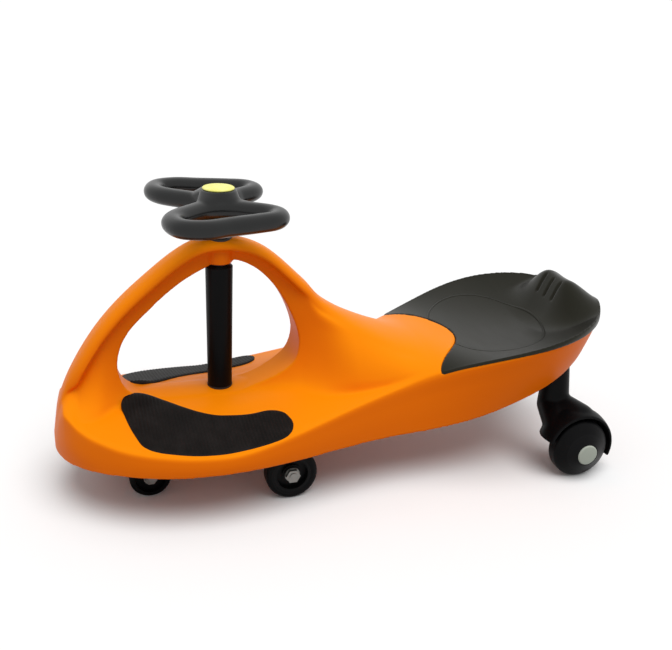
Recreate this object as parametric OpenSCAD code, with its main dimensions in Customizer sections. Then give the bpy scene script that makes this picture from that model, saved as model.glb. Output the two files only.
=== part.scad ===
// Wiggle car: a ride-on toy that is steered and driven by swinging its wheel from side to side.
// Millimetres, +X forward, +Y left, +Z up. The origin is on the floor, under the middle of the body.
// Every module is drawn with the steering axis at x = 0 and is then moved forward by column_x.

/* [Body] */
// Steering axis to the tip of the nose
nose_reach = 216; // [205:1:225]
// Steering axis back to the tip of the tail
tail_reach = 548; // [542:1:556]
// Steering axis forward to the widest place of the deck
widest_reach = 22; // [15:1:30]
// Half width of the body at the foot deck
front_half_w = 138; // [136:1:146]
// Steering axis back to the waist
waist_reach = 235; // [220:1:250]
// Half width of the body at the waist
waist_half_w = 103; // [97:1:110]
// Height of the lower edge at the sides
rim_z = 72; // [71.5:0.5:76]
// Height of the lower edge at the nose
nose_rim_z = 66; // [62:1:70]
// Height of the lower edge at the tail
tail_rim_z = 214; // [208:1:217]
// Height of the crease between skirt and foot deck
crease_z = 97.5; // [96:0.5:100]
// Height of the foot deck at the steering axis
deck_z = 131; // [129:1:134]
// Wall of the shell
wall = 4; // [3:0.5:5]

/* [Arch] */
// Height of the arch
arch_z = 334; // [330:1:340]
// Width of the band along the top of the arch
band_w = 40; // [37:1:46]
// Width of the web under the band
web_w = 27; // [24:1:32]
// Depth of the arch at its top
arch_depth = 28; // [24:1:31]
// Steering axis forward to the front edge of the window
window_front = 133; // [127:1:138]
// Steering axis back to the rear edge of the window
window_back = 104; // [98:1:108]

/* [Seat] */
// Steering axis back to the front horns of the seat
horn_reach = 272; // [266:1:280]
// Steering axis back to the widest place of the seat
seat_reach = 410; // [400:1:420]
// Half width of the seat
seat_half_w = 139; // [134:1:146]
// Height of the seat's edge at its widest
seat_rim_z = 203; // [199:1:207]
// Height of the seat's edge at the tail
tail_z = 226; // [222:1:232]
// Height of the seat's floor
seat_floor_z = 175; // [172:1:179]
// Rise of the tail lip above the seat's floor line
lip_rise = 61; // [55:1:67]
// Thickness of the seat
seat_t = 5; // [4:0.5:6]
// How far the body's tongue runs into the seat
tongue_l = 62; // [52:1:70]
// Width of a finger slot in the tail lip
slot_w = 5; // [4:0.5:7]
// Spacing of the finger slots
slot_pitch = 14; // [11:1:18]

/* [Foot pads] */
// Thickness of a foot pad
pad_t = 2.5; // [2:0.5:4]
// Number of ribs on a foot pad
pad_ribs = 22; // [12:1:24]

/* [Steering] */
// Diameter of the steering shaft
shaft_d = 20; // [18:1:22]
// Wall of the steering shaft
shaft_wall = 3; // [2:0.5:4]
// Diameter of the column sleeve at its top
sleeve_top_d = 35; // [32:1:38]
// Diameter of the column sleeve at its foot
sleeve_foot_d = 32; // [30:1:35]
// Height of the middle of the steering wheel's tube
grip_z = 375; // [370:1:380]
// Diameter of the steering wheel's tube
grip_d = 26; // [24:1:28]
// Half width of the steering wheel, to the middle of its tube
grip_half_w = 109; // [104:1:113]
// Half length of the steering wheel, to the middle of its tube
grip_half_l = 62; // [58:1:66]
// Half width across the inner bends of the two loops
grip_inner_w = 22; // [20:1:25]
// Diameter of the steering wheel's hub
hub_d = 46; // [44:1:50]
// Diameter of the steering cap
cap_d = 40; // [34:1:42]
// Outside diameter of a column bush
bush_d = 25; // [24:1:27]

/* [Front wheels] */
// Steering axis back to the front axle
trail = 76; // [72:1:80]
// Diameter of a front wheel
front_wheel_d = 69; // [65:0.5:69.5]
// Width of a front wheel
front_wheel_w = 24; // [20:1:26]
// Middle of the car to the outer face of a front wheel
front_face_y = 98; // [94:1:102]
// Diameter of the front axle
front_axle_d = 10; // [8:1:12]
// Steering axis forward to the guide axle
guide_lead = 101; // [96:1:105]
// Diameter of a guide wheel
guide_wheel_d = 54; // [50:1:56]
// Width of a guide wheel
guide_wheel_w = 20; // [16:1:24]
// Middle of the car to the outer face of a guide wheel
guide_face_y = 48; // [46:1:52]
// Diameter of the guide axle
guide_axle_d = 8; // [6:1:9]

/* [Rear wheels] */
// Steering axis back to the rear axles
rear_reach = 481; // [478:1:484]
// Diameter of a rear wheel
rear_wheel_d = 83; // [80:1:86]
// Width of a rear wheel
rear_wheel_w = 38; // [36:1:41]
// Middle of the car to the outer face of a rear wheel
rear_face_y = 158; // [155:1:161]
// Diameter of a rear axle
rear_axle_d = 10; // [8:1:12]
// Diameter of a hub cap
hub_cap_d = 29; // [26:1:31]
// Wall of the fender
fender_t = 5; // [4:0.5:6]
// Room between a rear wheel and its fender
fender_room = 5; // [4:0.5:7]
// Middle of the car to the middle of an arm's post
post_y = 76; // [74:1:78]
// Diameter of an arm's post
post_d = 40; // [36:1:42]
// Height of the seat that an arm's post bolts up to
post_top_z = 161; // [159:1:163]

/* [Fits] */
// Gap between pieces that are fastened together
fit = 0.4; // [0.3:0.1:0.6]
// Radial clearance of a turning fit
run_fit = 0.1; // [0.06:0.02:0.1]
// End float of a wheel on its axle
float = 0.5; // [0.3:0.1:1]

/* [Hidden] */

orange = [0.96, 0.52, 0.08];
seat_grey = [0.24, 0.24, 0.22];
black = [0.08, 0.08, 0.09];
steel = [0.72, 0.73, 0.75];
yellow = [0.95, 0.92, 0.5];
pale = [0.68, 0.7, 0.66];
eps = 0.01;

column_x = (tail_reach - nose_reach) / 2;

// Smooth curves through a few [x, value] knots, in rising x
function lerp(a, b, t) = a + (b - a) * t;
function unit(t) = min(max(t, 0), 1);
function ease(t) = let (u = unit(t)) u * u * (3 - 2 * u);
function stretch_of(k, x, i = 0) = i >= len(k) - 2 || x < k[i + 1][0] ? i : stretch_of(k, x, i + 1);
function lean(k, i) =
    let (a = max(i - 1, 0), b = min(i + 1, len(k) - 1)) (k[b][1] - k[a][1]) / (k[b][0] - k[a][0]);
function curve(k, x) =
    let (
        i = stretch_of(k, x),
        h = k[i + 1][0] - k[i][0],
        t = unit((x - k[i][0]) / h),
        s = 1 - t
    )
    k[i][1] * s * s * (1 + 2 * t) + k[i + 1][1] * t * t * (3 - 2 * t)
        + lean(k, i) * h * t * s * s - lean(k, i + 1) * h * t * t * s;
function bezier(a, b, c, d, t) =
    let (s = 1 - t) a * s * s * s + 3 * b * s * s * t + 3 * c * s * t * t + d * t * t * t;

// Plan of the body: an elliptic nose, a waist and an elliptic tail
function edge_y(x) =
    x >= widest_reach
        ? front_half_w * sqrt(max(1 - pow((x - widest_reach) / (nose_reach - widest_reach), 2), 0))
    : x >= -waist_reach
        ? lerp(front_half_w, waist_half_w, ease((widest_reach - x) / (widest_reach + waist_reach)))
    : x >= -seat_reach
        ? lerp(waist_half_w, seat_half_w, ease((-waist_reach - x) / (seat_reach - waist_reach)))
    : seat_half_w * sqrt(max(1 - pow((x + seat_reach) / (tail_reach - seat_reach), 2), 0));

// The hull draws in below the seat, and the crease draws in round the nose
hull_draw = 0.18;
function rim_y(x) = edge_y(x) * (1 - hull_draw * ease((-waist_reach - x) / (seat_reach - waist_reach)));
crease_in = [[0, 1], [130, 0.98], [165, 0.9], [185, 0.76], [202, 0.6], [nose_reach, 0.5]];
function crease_y(x) = edge_y(x) * curve(crease_in, x);

// Lower edge
rim_line = [
    [-tail_reach, tail_rim_z], [-515, 188], [-480, 157], [-418, 125], [-337, 95], [-264, 80],
    [-190, rim_z + 4], [-60, rim_z + 0.5], [60, rim_z], [140, rim_z - 1], [nose_reach, nose_rim_z]
];
function low_z(x) = curve(rim_line, x);

// Middle line along the top of the nose, the arch, the hump and the tongue
ridge_line = [
    [-seat_reach, seat_floor_z], [-horn_reach - tongue_l, seat_floor_z], [-horn_reach, seat_floor_z + 7],
    [-220, 199], [-155, 233], [-112, 272], [-59, arch_z - 16], [-10, arch_z], [38, arch_z - 8], [98, 282],
    [150, 230], [190, 170], [208, 126], [nose_reach, 84]
];
function ridge_z(x) = curve(ridge_line, x);

// Crease between skirt and deck, which runs on as the edge of the seat
crease_line = [
    [-tail_reach, tail_z], [-500, seat_rim_z + 16], [-seat_reach, seat_rim_z], [-305, 176], [-218, 148],
    [-136, 127], [-55, crease_z + 11], [0, crease_z], [130, crease_z], [170, crease_z + 5],
    [202, crease_z + 7], [nose_reach, crease_z - 3]
];
crease_share = 0.72;
function crease_h(x) = let (z = curve(crease_line, x))
    x < widest_reach ? z : min(z, lerp(low_z(x), ridge_z(x), crease_share));

deck_line = [
    [-horn_reach, seat_floor_z + 1], [-160, 154], [-100, deck_z + 12], [-45, deck_z + 3], [0, deck_z],
    [120, deck_z + 3], [175, deck_z + 3], [nose_reach, 76]
];
deck_crown = 0.15;
function fall(r) = (sqrt(r * r + deck_crown * deck_crown) - deck_crown)
    / (sqrt(1 + deck_crown * deck_crown) - deck_crown);
function deck_h(x, y) = lerp(min(curve(deck_line, x), ridge_z(x)), crease_h(x), fall(abs(y) / crease_y(x)));

// Seat surface, which the tongue of the body shares
floor_line = [
    [-tail_reach, tail_z], [-470, seat_floor_z + 6], [-seat_reach, seat_floor_z],
    [-horn_reach - tongue_l, seat_floor_z], [-horn_reach, seat_floor_z + 7]
];
lip_line = [
    [-tail_reach, 0], [-537, 0.17], [-528, 0.37], [-513, 0.66], [-499, 0.89], [-488, 1], [-480, 0.92],
    [-470, 0.56], [-458, 0.18], [-447, 0.03], [-440, 0]
];
lip_flat = 20;
lip_slope = 50;
dish_share = 0.6;
function lip_h(x, y) =
    x > -440 ? 0 : lip_rise * curve(lip_line, x) * ease(1 - (abs(y) - lip_flat) / lip_slope);
function seat_h(x, y) =
    let (
        middle = x < -horn_reach ? curve(floor_line, x) : ridge_z(x),
        out = ease((abs(y) / edge_y(x) - dish_share) / (1 - dish_share))
    )
    lerp(middle, crease_h(x), out) + lip_h(x, y);

// Half widths of the ridge: its band, the web below it and its foot on the deck
band_line = [
    [-horn_reach, 66], [-200, 46], [-150, 30], [-112, band_w / 2 + 2], [-59, band_w / 2], [98, band_w / 2],
    [165, band_w / 2 + 2], [202, 15], [nose_reach, 7]
];
web_line = [
    [-horn_reach, 74], [-200, 54], [-150, 38], [-112, band_w / 2], [-85, web_w / 2 + 2], [-59, web_w / 2],
    [110, web_w / 2], [145, band_w / 2 - 2], [178, band_w / 2 + 6], [202, 26], [nose_reach, 10]
];
foot_line = [
    [-horn_reach, 98], [-200, 92], [-150, 82], [-112, 64], [-75, 40], [-40, 25], [80, 22], [115, 25],
    [140, 34], [165, 52], [185, 54], [202, 40], [nose_reach, 14]
];
function foot_y(x) = min(curve(foot_line, x), crease_y(x) * 0.93);

// Half a section of the outer body from the lower edge up to the middle of the ridge, as [y, z]
deck_steps = 4;
side_steps = 6;
band_edge = 3.5;
band_side = 8;
band_under = 15;
// The skirt below the crease swells a little, and more round the nose
skirt_swell = 1.2;
nose_swell = 4;
function swell(x) = skirt_swell + nose_swell * ease((x - nose_reach + 55) / 45);
function skirt(ry, rz, ey, ez, out) = [
    [ry, rz], [lerp(ry, ey, 0.35) + out, lerp(rz, ez, 0.33)], [lerp(ry, ey, 0.7) + out, lerp(rz, ez, 0.66)],
    [ey + (out - skirt_swell) * 0.5, ez - 2]
];
// How far the band along the arch has faded out, at the hump and at the nose
fade_l = 50;
function band_fade(x) = max(ease((-window_back + 4 - x) / fade_l), ease((x - window_front - 17) / fade_l));
// How far the section has turned into the seat's surface
function seat_blend(x) = ease((waist_reach - 30 + x) / (waist_reach - 30 - horn_reach));
function half_section(x) =
    let (a = half_ridge(x), b = half_hull(x), t = seat_blend(x))
    [for (i = [0:len(a) - 1]) lerp(a[i], b[i], t)];
function half_ridge(x) =
    let (
        ey = crease_y(x), ez = crease_h(x), zt = ridge_z(x),
        by = curve(band_line, x), wy = curve(web_line, x), fy = foot_y(x), fz = deck_h(x, fy),
        pitch = sqrt(1 + pow((ridge_z(x + 1) - ridge_z(x - 1)) / 2, 2)),
        n = min(pitch, max(zt - fz, 0) / (2 * band_under)),
        top = [wy, zt - band_under * n],
        drop = max(top[1] - fz, 0),
        f = band_fade(x)
    )
    concat(
        skirt(rim_y(x), low_z(x), ey, ez, swell(x)),
        [for (i = [0:deck_steps]) let (y = lerp(ey - 4, fy, i / deck_steps)) [y, deck_h(x, y)]],
        [for (i = [1:side_steps])
            let (inner = [lerp(fy, wy, 0.75), lerp(fz, deck_h(x, wy), 0.75)])
            bezier([fy, fz], inner, top - [0, 0.55 * drop], top, i / side_steps)],
        [
            [lerp(by, wy * 0.86, f), zt - lerp(band_side, 9.5, f) * n],
            [lerp(by, wy * 0.7, f), zt - lerp(band_edge, 5.6, f) * n],
            [lerp(by * 0.93, wy * 0.5, f), zt - lerp(0.9, 2.6, f) * n],
            [lerp(by * 0.55, wy * 0.25, f), zt - lerp(0, 0.6, f) * n]
        ]
    );
// Behind the horns the top of the section is the seat's surface
function half_hull(x) =
    let (ey = edge_y(x), tops = deck_steps + side_steps + 5)
    concat(
        skirt(rim_y(x), low_z(x), ey, crease_h(x), skirt_swell),
        [for (i = [1:tops]) let (y = ey * (1 - i / (tops + 1))) [y, seat_h(x, y)]]
    );
function mirror_ring(x, half, top) = concat(
    [for (p = half) [x, p[0], p[1]]],
    [[x, 0, top]],
    [for (i = [len(half) - 1:-1:0]) [x, -half[i][0], half[i][1]]]
);

// Closed solid through rings of equally many points, each ring running the same way round.
// Columns of faces in the ranges of turned are split along their other diagonal.
function is_turned(j, turned) = len([for (r = turned) if (j >= r[0] && j <= r[1]) r]) > 0;
function split(a, b, c, d, other) = other ? [[a, b, d], [a, d, c]] : [[a, b, c], [b, d, c]];
function span_faces(m, n, turned = []) = [
    for (j = [0:n - 1])
        let (k = (j + 1) % n, other = is_turned(j, turned))
        for (i = [0:m - 1])
            each split(i * n + j, i * n + k, (i + 1) * n + j, (i + 1) * n + k, other)
];
// An end that bends is closed in strips between each point and the one that mirrors it in its ring
function end_faces(n) = [
    for (j = [0:ceil(n / 2) - 2])
        each j + 1 == n - 2 - j
            ? [[j, j + 1, n - 1 - j]]
            : [[j, j + 1, n - 1 - j], [j + 1, n - 2 - j, n - 1 - j]]
];
module skin(rings, turned = [], strips = false) {
    n = len(rings[0]);
    m = len(rings);
    ends = strips ? end_faces(n) : [[for (j = [0:n - 1]) j]];
    polyhedron(
        points = [for (r = rings) each r],
        faces = concat(
            span_faces(m - 1, n, turned),
            [for (f = ends) [for (k = [len(f) - 1:-1:0]) f[k]]],
            [for (f = ends) [for (k = f) (m - 1) * n + k]]
        )
    );
}
// The same for rings that come back round to the first
module ring_skin(rings) {
    n = len(rings[0]);
    m = len(rings);
    polyhedron(
        points = [for (r = rings) each r],
        faces = [for (f = span_faces(m, n)) [for (k = f) k % (m * n)]]
    );
}

// Stations along the car, closer together round the nose and the tail
nose_steps = 10;
deck_stations = 13;
hump_stations = 9;
hull_stations = 7;
tail_steps = 9;
end_angle = 86;
nose_turn = window_front - 5;
front_x = concat(
    [for (i = [nose_steps:-1:0])
        let (a = asin((nose_turn - widest_reach) / (nose_reach - widest_reach)))
        widest_reach + (nose_reach - widest_reach) * sin(lerp(a, end_angle, i / nose_steps))],
    [for (i = [1:deck_stations]) lerp(nose_turn, -window_back, i / deck_stations)],
    [for (i = [1:hump_stations - 1]) lerp(-window_back, -horn_reach, i / hump_stations)]
);
rear_x = concat(
    [for (i = [0:hull_stations]) lerp(-horn_reach, -seat_reach, i / hull_stations)],
    [for (i = [1:tail_steps]) -seat_reach - (tail_reach - seat_reach) * sin(end_angle * i / tail_steps)]
);

module body_block() {
    skin(concat(
        [for (x = front_x) mirror_ring(x, half_section(x), ridge_z(x))],
        [for (x = rear_x) mirror_ring(x, half_hull(x), seat_h(x, 0))]
    ), [[len(half_hull(0)), 2 * len(half_hull(0)) - 1]]);
}

// Space inside the shell, open below
nose_solid = 26;
tail_solid = 24;
cavity_stations = 22;
cavity_steps = 5;
function inner_top(x, y) =
    x < -horn_reach ? seat_h(x, y) - lip_h(x, y) - seat_t - wall
    : deck_h(x, y) - wall;
function cavity_ring(x) =
    let (
        ey = min(edge_y(x), crease_y(x)) - wall - 1,
        ry = min(rim_y(x) - wall, ey),
        low = low_z(x) - 20
    )
    mirror_ring(x, concat(
        [[ry, low], [ry, low_z(x) + 2]],
        [for (i = [0:cavity_steps]) let (y = ey * (1 - i / (cavity_steps + 1)))
            [y, max(inner_top(x, y), low_z(x) + 4)]]
    ), max(inner_top(x, 0), low_z(x) + 4));
module cavity() {
    skin([for (i = [0:cavity_stations])
        cavity_ring(lerp(nose_reach - nose_solid, -tail_reach + tail_solid, i / cavity_stations))]);
}
// Space inside the hump
hump_wall = 12;
hump_share = 0.45;
function hump_ring(x) =
    let (z = ridge_z(x) - hump_wall, y = foot_y(x) * hump_share, deck = deck_h(x, 0))
    mirror_ring(x, [[y, deck - 25], [y, deck - wall - 6], [curve(web_line, x) * hump_share, z - 6]], z);
module hump_cavity() {
    skin([for (i = [0:5]) hump_ring(lerp(-window_back - 18, -horn_reach + 30, i / 5))]);
}

// Window through the arch, down to the deck
window_knots = [
    [window_front, 172], [window_front - 8, 210], [89, 251], [39, 289], [-12, arch_z - arch_depth],
    [-45, arch_z - arch_depth - 11], [-77, 263], [-window_back + 4, 215], [-window_back, 190],
    [-window_back + 9, 165], [-window_back + 42, 142], [0, deck_z - 6], [80, deck_z - 4],
    [window_front - 12, 142]
];
window_fine = 4;
function loop_spline(k, fine) = [
    for (i = [0:len(k) - 1], j = [0:fine - 1])
        let (
            n = len(k),
            a = k[(i + n - 1) % n],
            b = k[i],
            c = k[(i + 1) % n],
            d = k[(i + 2) % n],
            t = j / fine
        )
        b + (c - a) * t / 2 + (2 * a - 5 * b + 4 * c - d) * t * t / 2
            + (3 * b - a - 3 * c + d) * t * t * t / 2
];
function under_deck(x) =
    let (y = crease_y(x) + 5)
    mirror_ring(x, concat([[y, 0]], [for (k = [1, 0.6, 0.3, 0.12]) [y * k, deck_h(x, y * k)]]), deck_h(x, 0));
module window() {
    difference() {
        rotate([90, 0, 0])
            linear_extrude(height = 2 * front_half_w, center = true)
                polygon(loop_spline(window_knots, window_fine));
        skin([for (i = [0:12]) under_deck(lerp(window_front + 10, -window_back - 10, i / 12))]);
    }
}

// Seat block: the seat's plan from the tongue's edge to the tail, between two heights above its surface
seat_rows = 24;
seat_cols = 18;
tongue_power = 1.5;
function tongue_x(v) = -horn_reach - tongue_l * pow(cos(90 * min(abs(v), 1)), tongue_power);
function seat_point(i, j, low, side, front) =
    let (
        v = lerp(-1, 1, j / seat_cols),
        x = lerp(tongue_x(v) + front, -tail_reach + 1, sin(90 * i / seat_rows)),
        y = v * edge_y(x)
    )
    [x, y + sign(v) * side * pow(abs(v), 8), seat_h(x, y) + low];
module seat_block(low, high, side, front) {
    skin([for (i = [0:seat_rows]) concat(
        [for (j = [seat_cols:-1:0]) seat_point(i, j, high, side, front)],
        [for (j = [0:seat_cols]) seat_point(i, j, low, side, front)]
    )], [[seat_cols / 2, seat_cols], [1.5 * seat_cols + 1, 2 * seat_cols]], true);
}
slot_x = -474;
slot_l = 21;
slot_lean = 26;
slot_depth = 2;
module slots(depth) {
    for (i = [-1:1])
        translate([slot_x, i * slot_pitch, seat_h(slot_x, i * slot_pitch)])
            rotate([0, -slot_lean, 0]) cube([2 * depth, slot_w, slot_l], center = true);
}

// Column bushes, and the places that they sit in
press = 0.02;
upper_face_z = arch_z - 2.3;
lower_face_z = deck_z - 1.5;
flange_t = 2.5;
flange_d = bush_d + 8;
thrust = 0.3;
yoke_top_z = 88;
lower_bush_foot_z = yoke_top_z + thrust;
sleeve_low_z = lower_face_z + flange_t + thrust;
sleeve_high_z = arch_z - arch_depth - 7;
upper_bush_foot_z = sleeve_high_z + thrust;
upper_boss_d = bush_d + 9;
boss_d = bush_d + 13;
boss_low_z = lower_bush_foot_z + 3;

// Ribs under the deck and the bosses for the rear arms and the seat
rib_t = 3;
rib_count = 8;
rib_reach = 92;
rib_low_z = 97;
post_x = -tail_reach + 81;
flange_r = post_d / 2 + 6;
arm_screw_r = post_d / 2 + 2.5;
arm_screw_d = 5;
arm_screw_angles = [45, 225, 315];
seat_screw_places = [[-345, 72], [-345, -72], [-425, 98], [-425, -98], [-425, 0]];
seat_screw_d = 4;
seat_boss_d = 12;
seat_boss_l = 16;
module body_shell() {
    color(orange)
        difference() {
            union() {
                difference() {
                    body_block();
                    window();
                    cavity();
                    hump_cavity();
                }
                translate([0, 0, upper_bush_foot_z + 2])
                    cylinder(d = upper_boss_d, h = arch_z - upper_bush_foot_z - 8, $fn = 40);
                intersection() {
                    body_block();
                    union() {
                        translate([0, 0, boss_low_z])
                            cylinder(d = boss_d, h = deck_z - boss_low_z - 2, $fn = 40);
                        for (i = [0:rib_count - 1])
                            hull() for (r = [boss_d / 2 - 1, rib_reach])
                                rotate([0, 0, (i + 0.5) * 360 / rib_count])
                                    translate([r, 0, rib_low_z])
                                        cylinder(d = rib_t, h = deck_h(0, rib_reach) - rib_low_z, $fn = 8);
                        for (s = [-1, 1])
                            translate([post_x, s * post_y, post_top_z])
                                cylinder(r = flange_r, h = 30, $fn = 40);
                        for (p = seat_screw_places)
                            translate([p[0], p[1], seat_h(p[0], p[1]) - seat_t - seat_boss_l])
                                cylinder(d = seat_boss_d, h = seat_boss_l, $fn = 20);
                    }
                }
            }
            seat_block(-seat_t + 0.2, 60, 4, fit);
            translate([0, 0, upper_face_z]) cylinder(d = flange_d + 1, h = 30, $fn = 48);
            translate([0, 0, sleeve_high_z - 5]) cylinder(d = bush_d, h = 60, $fn = 48);
            translate([0, 0, lower_face_z]) cylinder(d = flange_d + 1, h = 12, $fn = 48);
            cylinder(d = bush_d, h = deck_z + 20, $fn = 48);
            for (s = [-1, 1], a = arm_screw_angles)
                translate([post_x, s * post_y, 0])
                    rotate([0, 0, s * a])
                        translate([arm_screw_r, 0, post_top_z - 20])
                            cylinder(d = arm_screw_d, h = 29, $fn = 16);
            for (p = seat_screw_places)
                translate([p[0], p[1], seat_h(p[0], p[1]) - seat_t - seat_boss_l - 1])
                    cylinder(d = seat_screw_d, h = seat_boss_l + 4, $fn = 16);
        }
}

module seat() {
    color(seat_grey)
        difference() {
            seat_block(-seat_t, 0, -0.6, -fit);
            slots(slot_depth);
        }
}

// Pan-headed screw with its head's underside at z = 0 and its shank upwards
module screw(d, l, head_d) {
    cylinder(d = d, h = l, $fn = 24);
    rotate_extrude($fn = 32)
        polygon([
            [0, 0.02], [head_d / 2, 0.02], [head_d / 2, -d * 0.35], [head_d / 2 - d * 0.25, -d * 0.6],
            [0, -d * 0.6]
        ]);
}
module seat_screws() {
    color(steel)
        for (p = seat_screw_places)
            translate([p[0], p[1], seat_h(p[0], p[1]) - seat_t - seat_boss_l])
                screw(seat_screw_d, seat_boss_l + 3, 2 * seat_screw_d);
}

// Kidney-shaped foot pad that follows the deck, with ribs across it
pad_back = -72;
pad_front = 133;
pad_sink = 0.8;
pad_in = [
    [pad_back, 99], [-67, 84], [-58, 74.5], [-46, 71.5], [-25, 72], [0, 68], [20, 63.5], [40, 54], [60, 40],
    [80, 24], [98, 13], [112, 10], [122, 15], [129, 30], [pad_front, 44]
];
pad_out = [
    [pad_back, 106], [-67, 118.5], [-58, 123.5], [-45, 127], [-20, 129.5], [0, 130.5], [30, 130.5], [60, 126],
    [90, 116], [110, 104], [122, 88], [129, 70], [pad_front, 54]
];
pad_cols = 4;
function pad_ring(x, s, rise) =
    let (a = curve(pad_in, x), b = curve(pad_out, x))
    concat(
        [for (j = [0:pad_cols]) let (y = lerp(a, b, j / pad_cols)) [x, s * y, deck_h(x, y) + rise]],
        [for (j = [pad_cols:-1:0]) let (y = lerp(a, b, j / pad_cols)) [x, s * y, deck_h(x, y) - pad_sink]]
    );
module foot_pad(s) {
    rings = [for (i = [0:2 * pad_ribs])
        pad_ring(lerp(pad_front, pad_back, i / (2 * pad_ribs)), s, i % 2 == 0 ? pad_t - 1 : pad_t)];
    turned_rings = [for (r = rings) [for (i = [len(r) - 1:-1:0]) r[i]]];
    color(black) skin(s > 0 ? turned_rings : rings, s > 0 ? [[0, len(rings[0])]] : []);
}

// Flanged nylon bush, with its flange at the top
module bush(d, l, bore, flange, thick) {
    rotate_extrude($fn = 64)
        polygon([
            [bore / 2, 0], [d / 2, 0], [d / 2, l - thick], [flange / 2, l - thick], [flange / 2, l],
            [bore / 2, l]
        ]);
}
module upper_column_bush() {
    color(pale) translate([0, 0, upper_bush_foot_z])
        bush(bush_d, upper_face_z + flange_t - upper_bush_foot_z, shaft_d + 2 * run_fit, flange_d, flange_t);
}
module lower_column_bush() {
    color(pale) translate([0, 0, lower_bush_foot_z])
        bush(bush_d, lower_face_z + flange_t - lower_bush_foot_z, shaft_d + 2 * run_fit, flange_d, flange_t);
}

// Steering shaft, sleeve and wheel
neck_low_z = upper_face_z + flange_t + thrust;
shaft_low_z = 58;
shaft_high_z = grip_z + 8;
screw_z = neck_low_z + 14;
bolt_z = 76;
bolt_d = 6;
module cross_hole(z, d) {
    translate([0, 0, z]) rotate([0, 90, 0]) cylinder(d = d, h = 2 * hub_d, center = true, $fn = 24);
}
module steering_shaft() {
    color(steel)
        difference() {
            translate([0, 0, shaft_low_z]) cylinder(d = shaft_d, h = shaft_high_z - shaft_low_z, $fn = 64);
            translate([0, 0, shaft_low_z - 1])
                cylinder(d = shaft_d - 2 * shaft_wall, h = shaft_high_z - shaft_low_z + 2, $fn = 64);
            cross_hole(screw_z, bolt_d);
            cross_hole(bolt_z, bolt_d);
        }
}
module column_sleeve() {
    color(black)
        rotate_extrude($fn = 64)
            polygon([
                [shaft_d / 2 - press, sleeve_low_z], [sleeve_foot_d / 2, sleeve_low_z],
                [sleeve_top_d / 2, sleeve_high_z - 3], [sleeve_top_d / 2 - 3, sleeve_high_z],
                [shaft_d / 2 - press, sleeve_high_z]
            ]);
}
// The loops sit a little ahead of the column and narrow towards the rear
grip_ahead = 3.5;
grip_plan = [
    [0.05, grip_half_w - 8], [0.5, grip_half_w], [0.88, grip_half_w - 8], [1, 76], [0.9, 58], [0.62, 40],
    [0.3, grip_inner_w + 4], [0, grip_inner_w], [-0.3, grip_inner_w + 4], [-0.62, 38], [-0.9, 52], [-1, 66],
    [-0.88, grip_half_w - 26], [-0.5, grip_half_w - 17]
];
grip_knots = [for (p = grip_plan) [grip_ahead + p[0] * grip_half_l, p[1]]];
grip_fine = 3;
grip_sides = 12;
module grip_loop(s) {
    path = loop_spline([for (p = grip_knots) [p[0], s * p[1]]], grip_fine);
    m = len(path);
    ring_skin([for (i = [0:m - 1])
        let (d = path[(i + 1) % m] - path[(i + m - 1) % m], n = s * [d[1], -d[0]] / norm(d))
        [for (j = [0:grip_sides - 1]) let (a = s * 360 * j / grip_sides)
            [path[i][0] + grip_d / 2 * cos(a) * n[0], path[i][1] + grip_d / 2 * cos(a) * n[1],
             grip_z + grip_d / 2 * sin(a)]]]);
}
hub_top_z = grip_z + grip_d / 2 + 7.5;
hub_drop = 22;
cap_depth = 5;
spigot_d = 12;
module steering_wheel() {
    color(black)
        difference() {
            union() {
                grip_loop(1);
                grip_loop(-1);
                for (a = [-1, 1], b = [-1, 1]) {
                    hull() {
                        translate([grip_ahead + a * 0.3 * grip_half_l, b * (grip_inner_w + 4), grip_z])
                            sphere(d = grip_d, $fn = 16);
                        translate([0, 0, grip_z - hub_drop + 2])
                            cylinder(d = hub_d - 2, h = hub_top_z - grip_z + hub_drop - 2, $fn = 32);
                    }
                    hull() {
                        translate([grip_ahead + a * 0.62 * grip_half_l, b * 39, grip_z])
                            sphere(d = grip_d, $fn = 16);
                        translate([a * 0.2 * grip_half_l, b * 10, grip_z])
                            sphere(d = grip_d, $fn = 16);
                    }
                }
                translate([0, 0, grip_z - hub_drop])
                    cylinder(d = hub_d, h = hub_top_z - grip_z + hub_drop, $fn = 40);
                translate([0, 0, neck_low_z])
                    cylinder(d1 = hub_d - 6, d2 = hub_d, h = grip_z - hub_drop + 0.1 - neck_low_z, $fn = 40);
            }
            translate([0, 0, neck_low_z - 1])
                cylinder(d = shaft_d, h = shaft_high_z - neck_low_z + 1.5, $fn = 40);
            translate([0, 0, hub_top_z - cap_depth]) cylinder(d = spigot_d, h = 20, $fn = 32);
            cross_hole(screw_z, bolt_d);
        }
}
module steering_cap() {
    color(yellow)
        rotate_extrude($fn = 64)
            polygon([
                [0, hub_top_z - cap_depth + 0.5], [spigot_d / 2 + press, hub_top_z - cap_depth + 0.5],
                [spigot_d / 2 + press, hub_top_z], [cap_d / 2 - 0.5, hub_top_z], [cap_d / 2, hub_top_z + 0.5],
                [cap_d / 2, hub_top_z + 1.2], [cap_d / 2 - 1.2, hub_top_z + 2.2],
                [cap_d * 0.25, hub_top_z + 2.8], [0, hub_top_z + 3]
            ]);
}
module steering_screw() {
    l = hub_d - 2;
    color(steel) translate([-l / 2, 0, screw_z]) rotate([0, 90, 0]) screw(bolt_d, l, 11);
}

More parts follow.
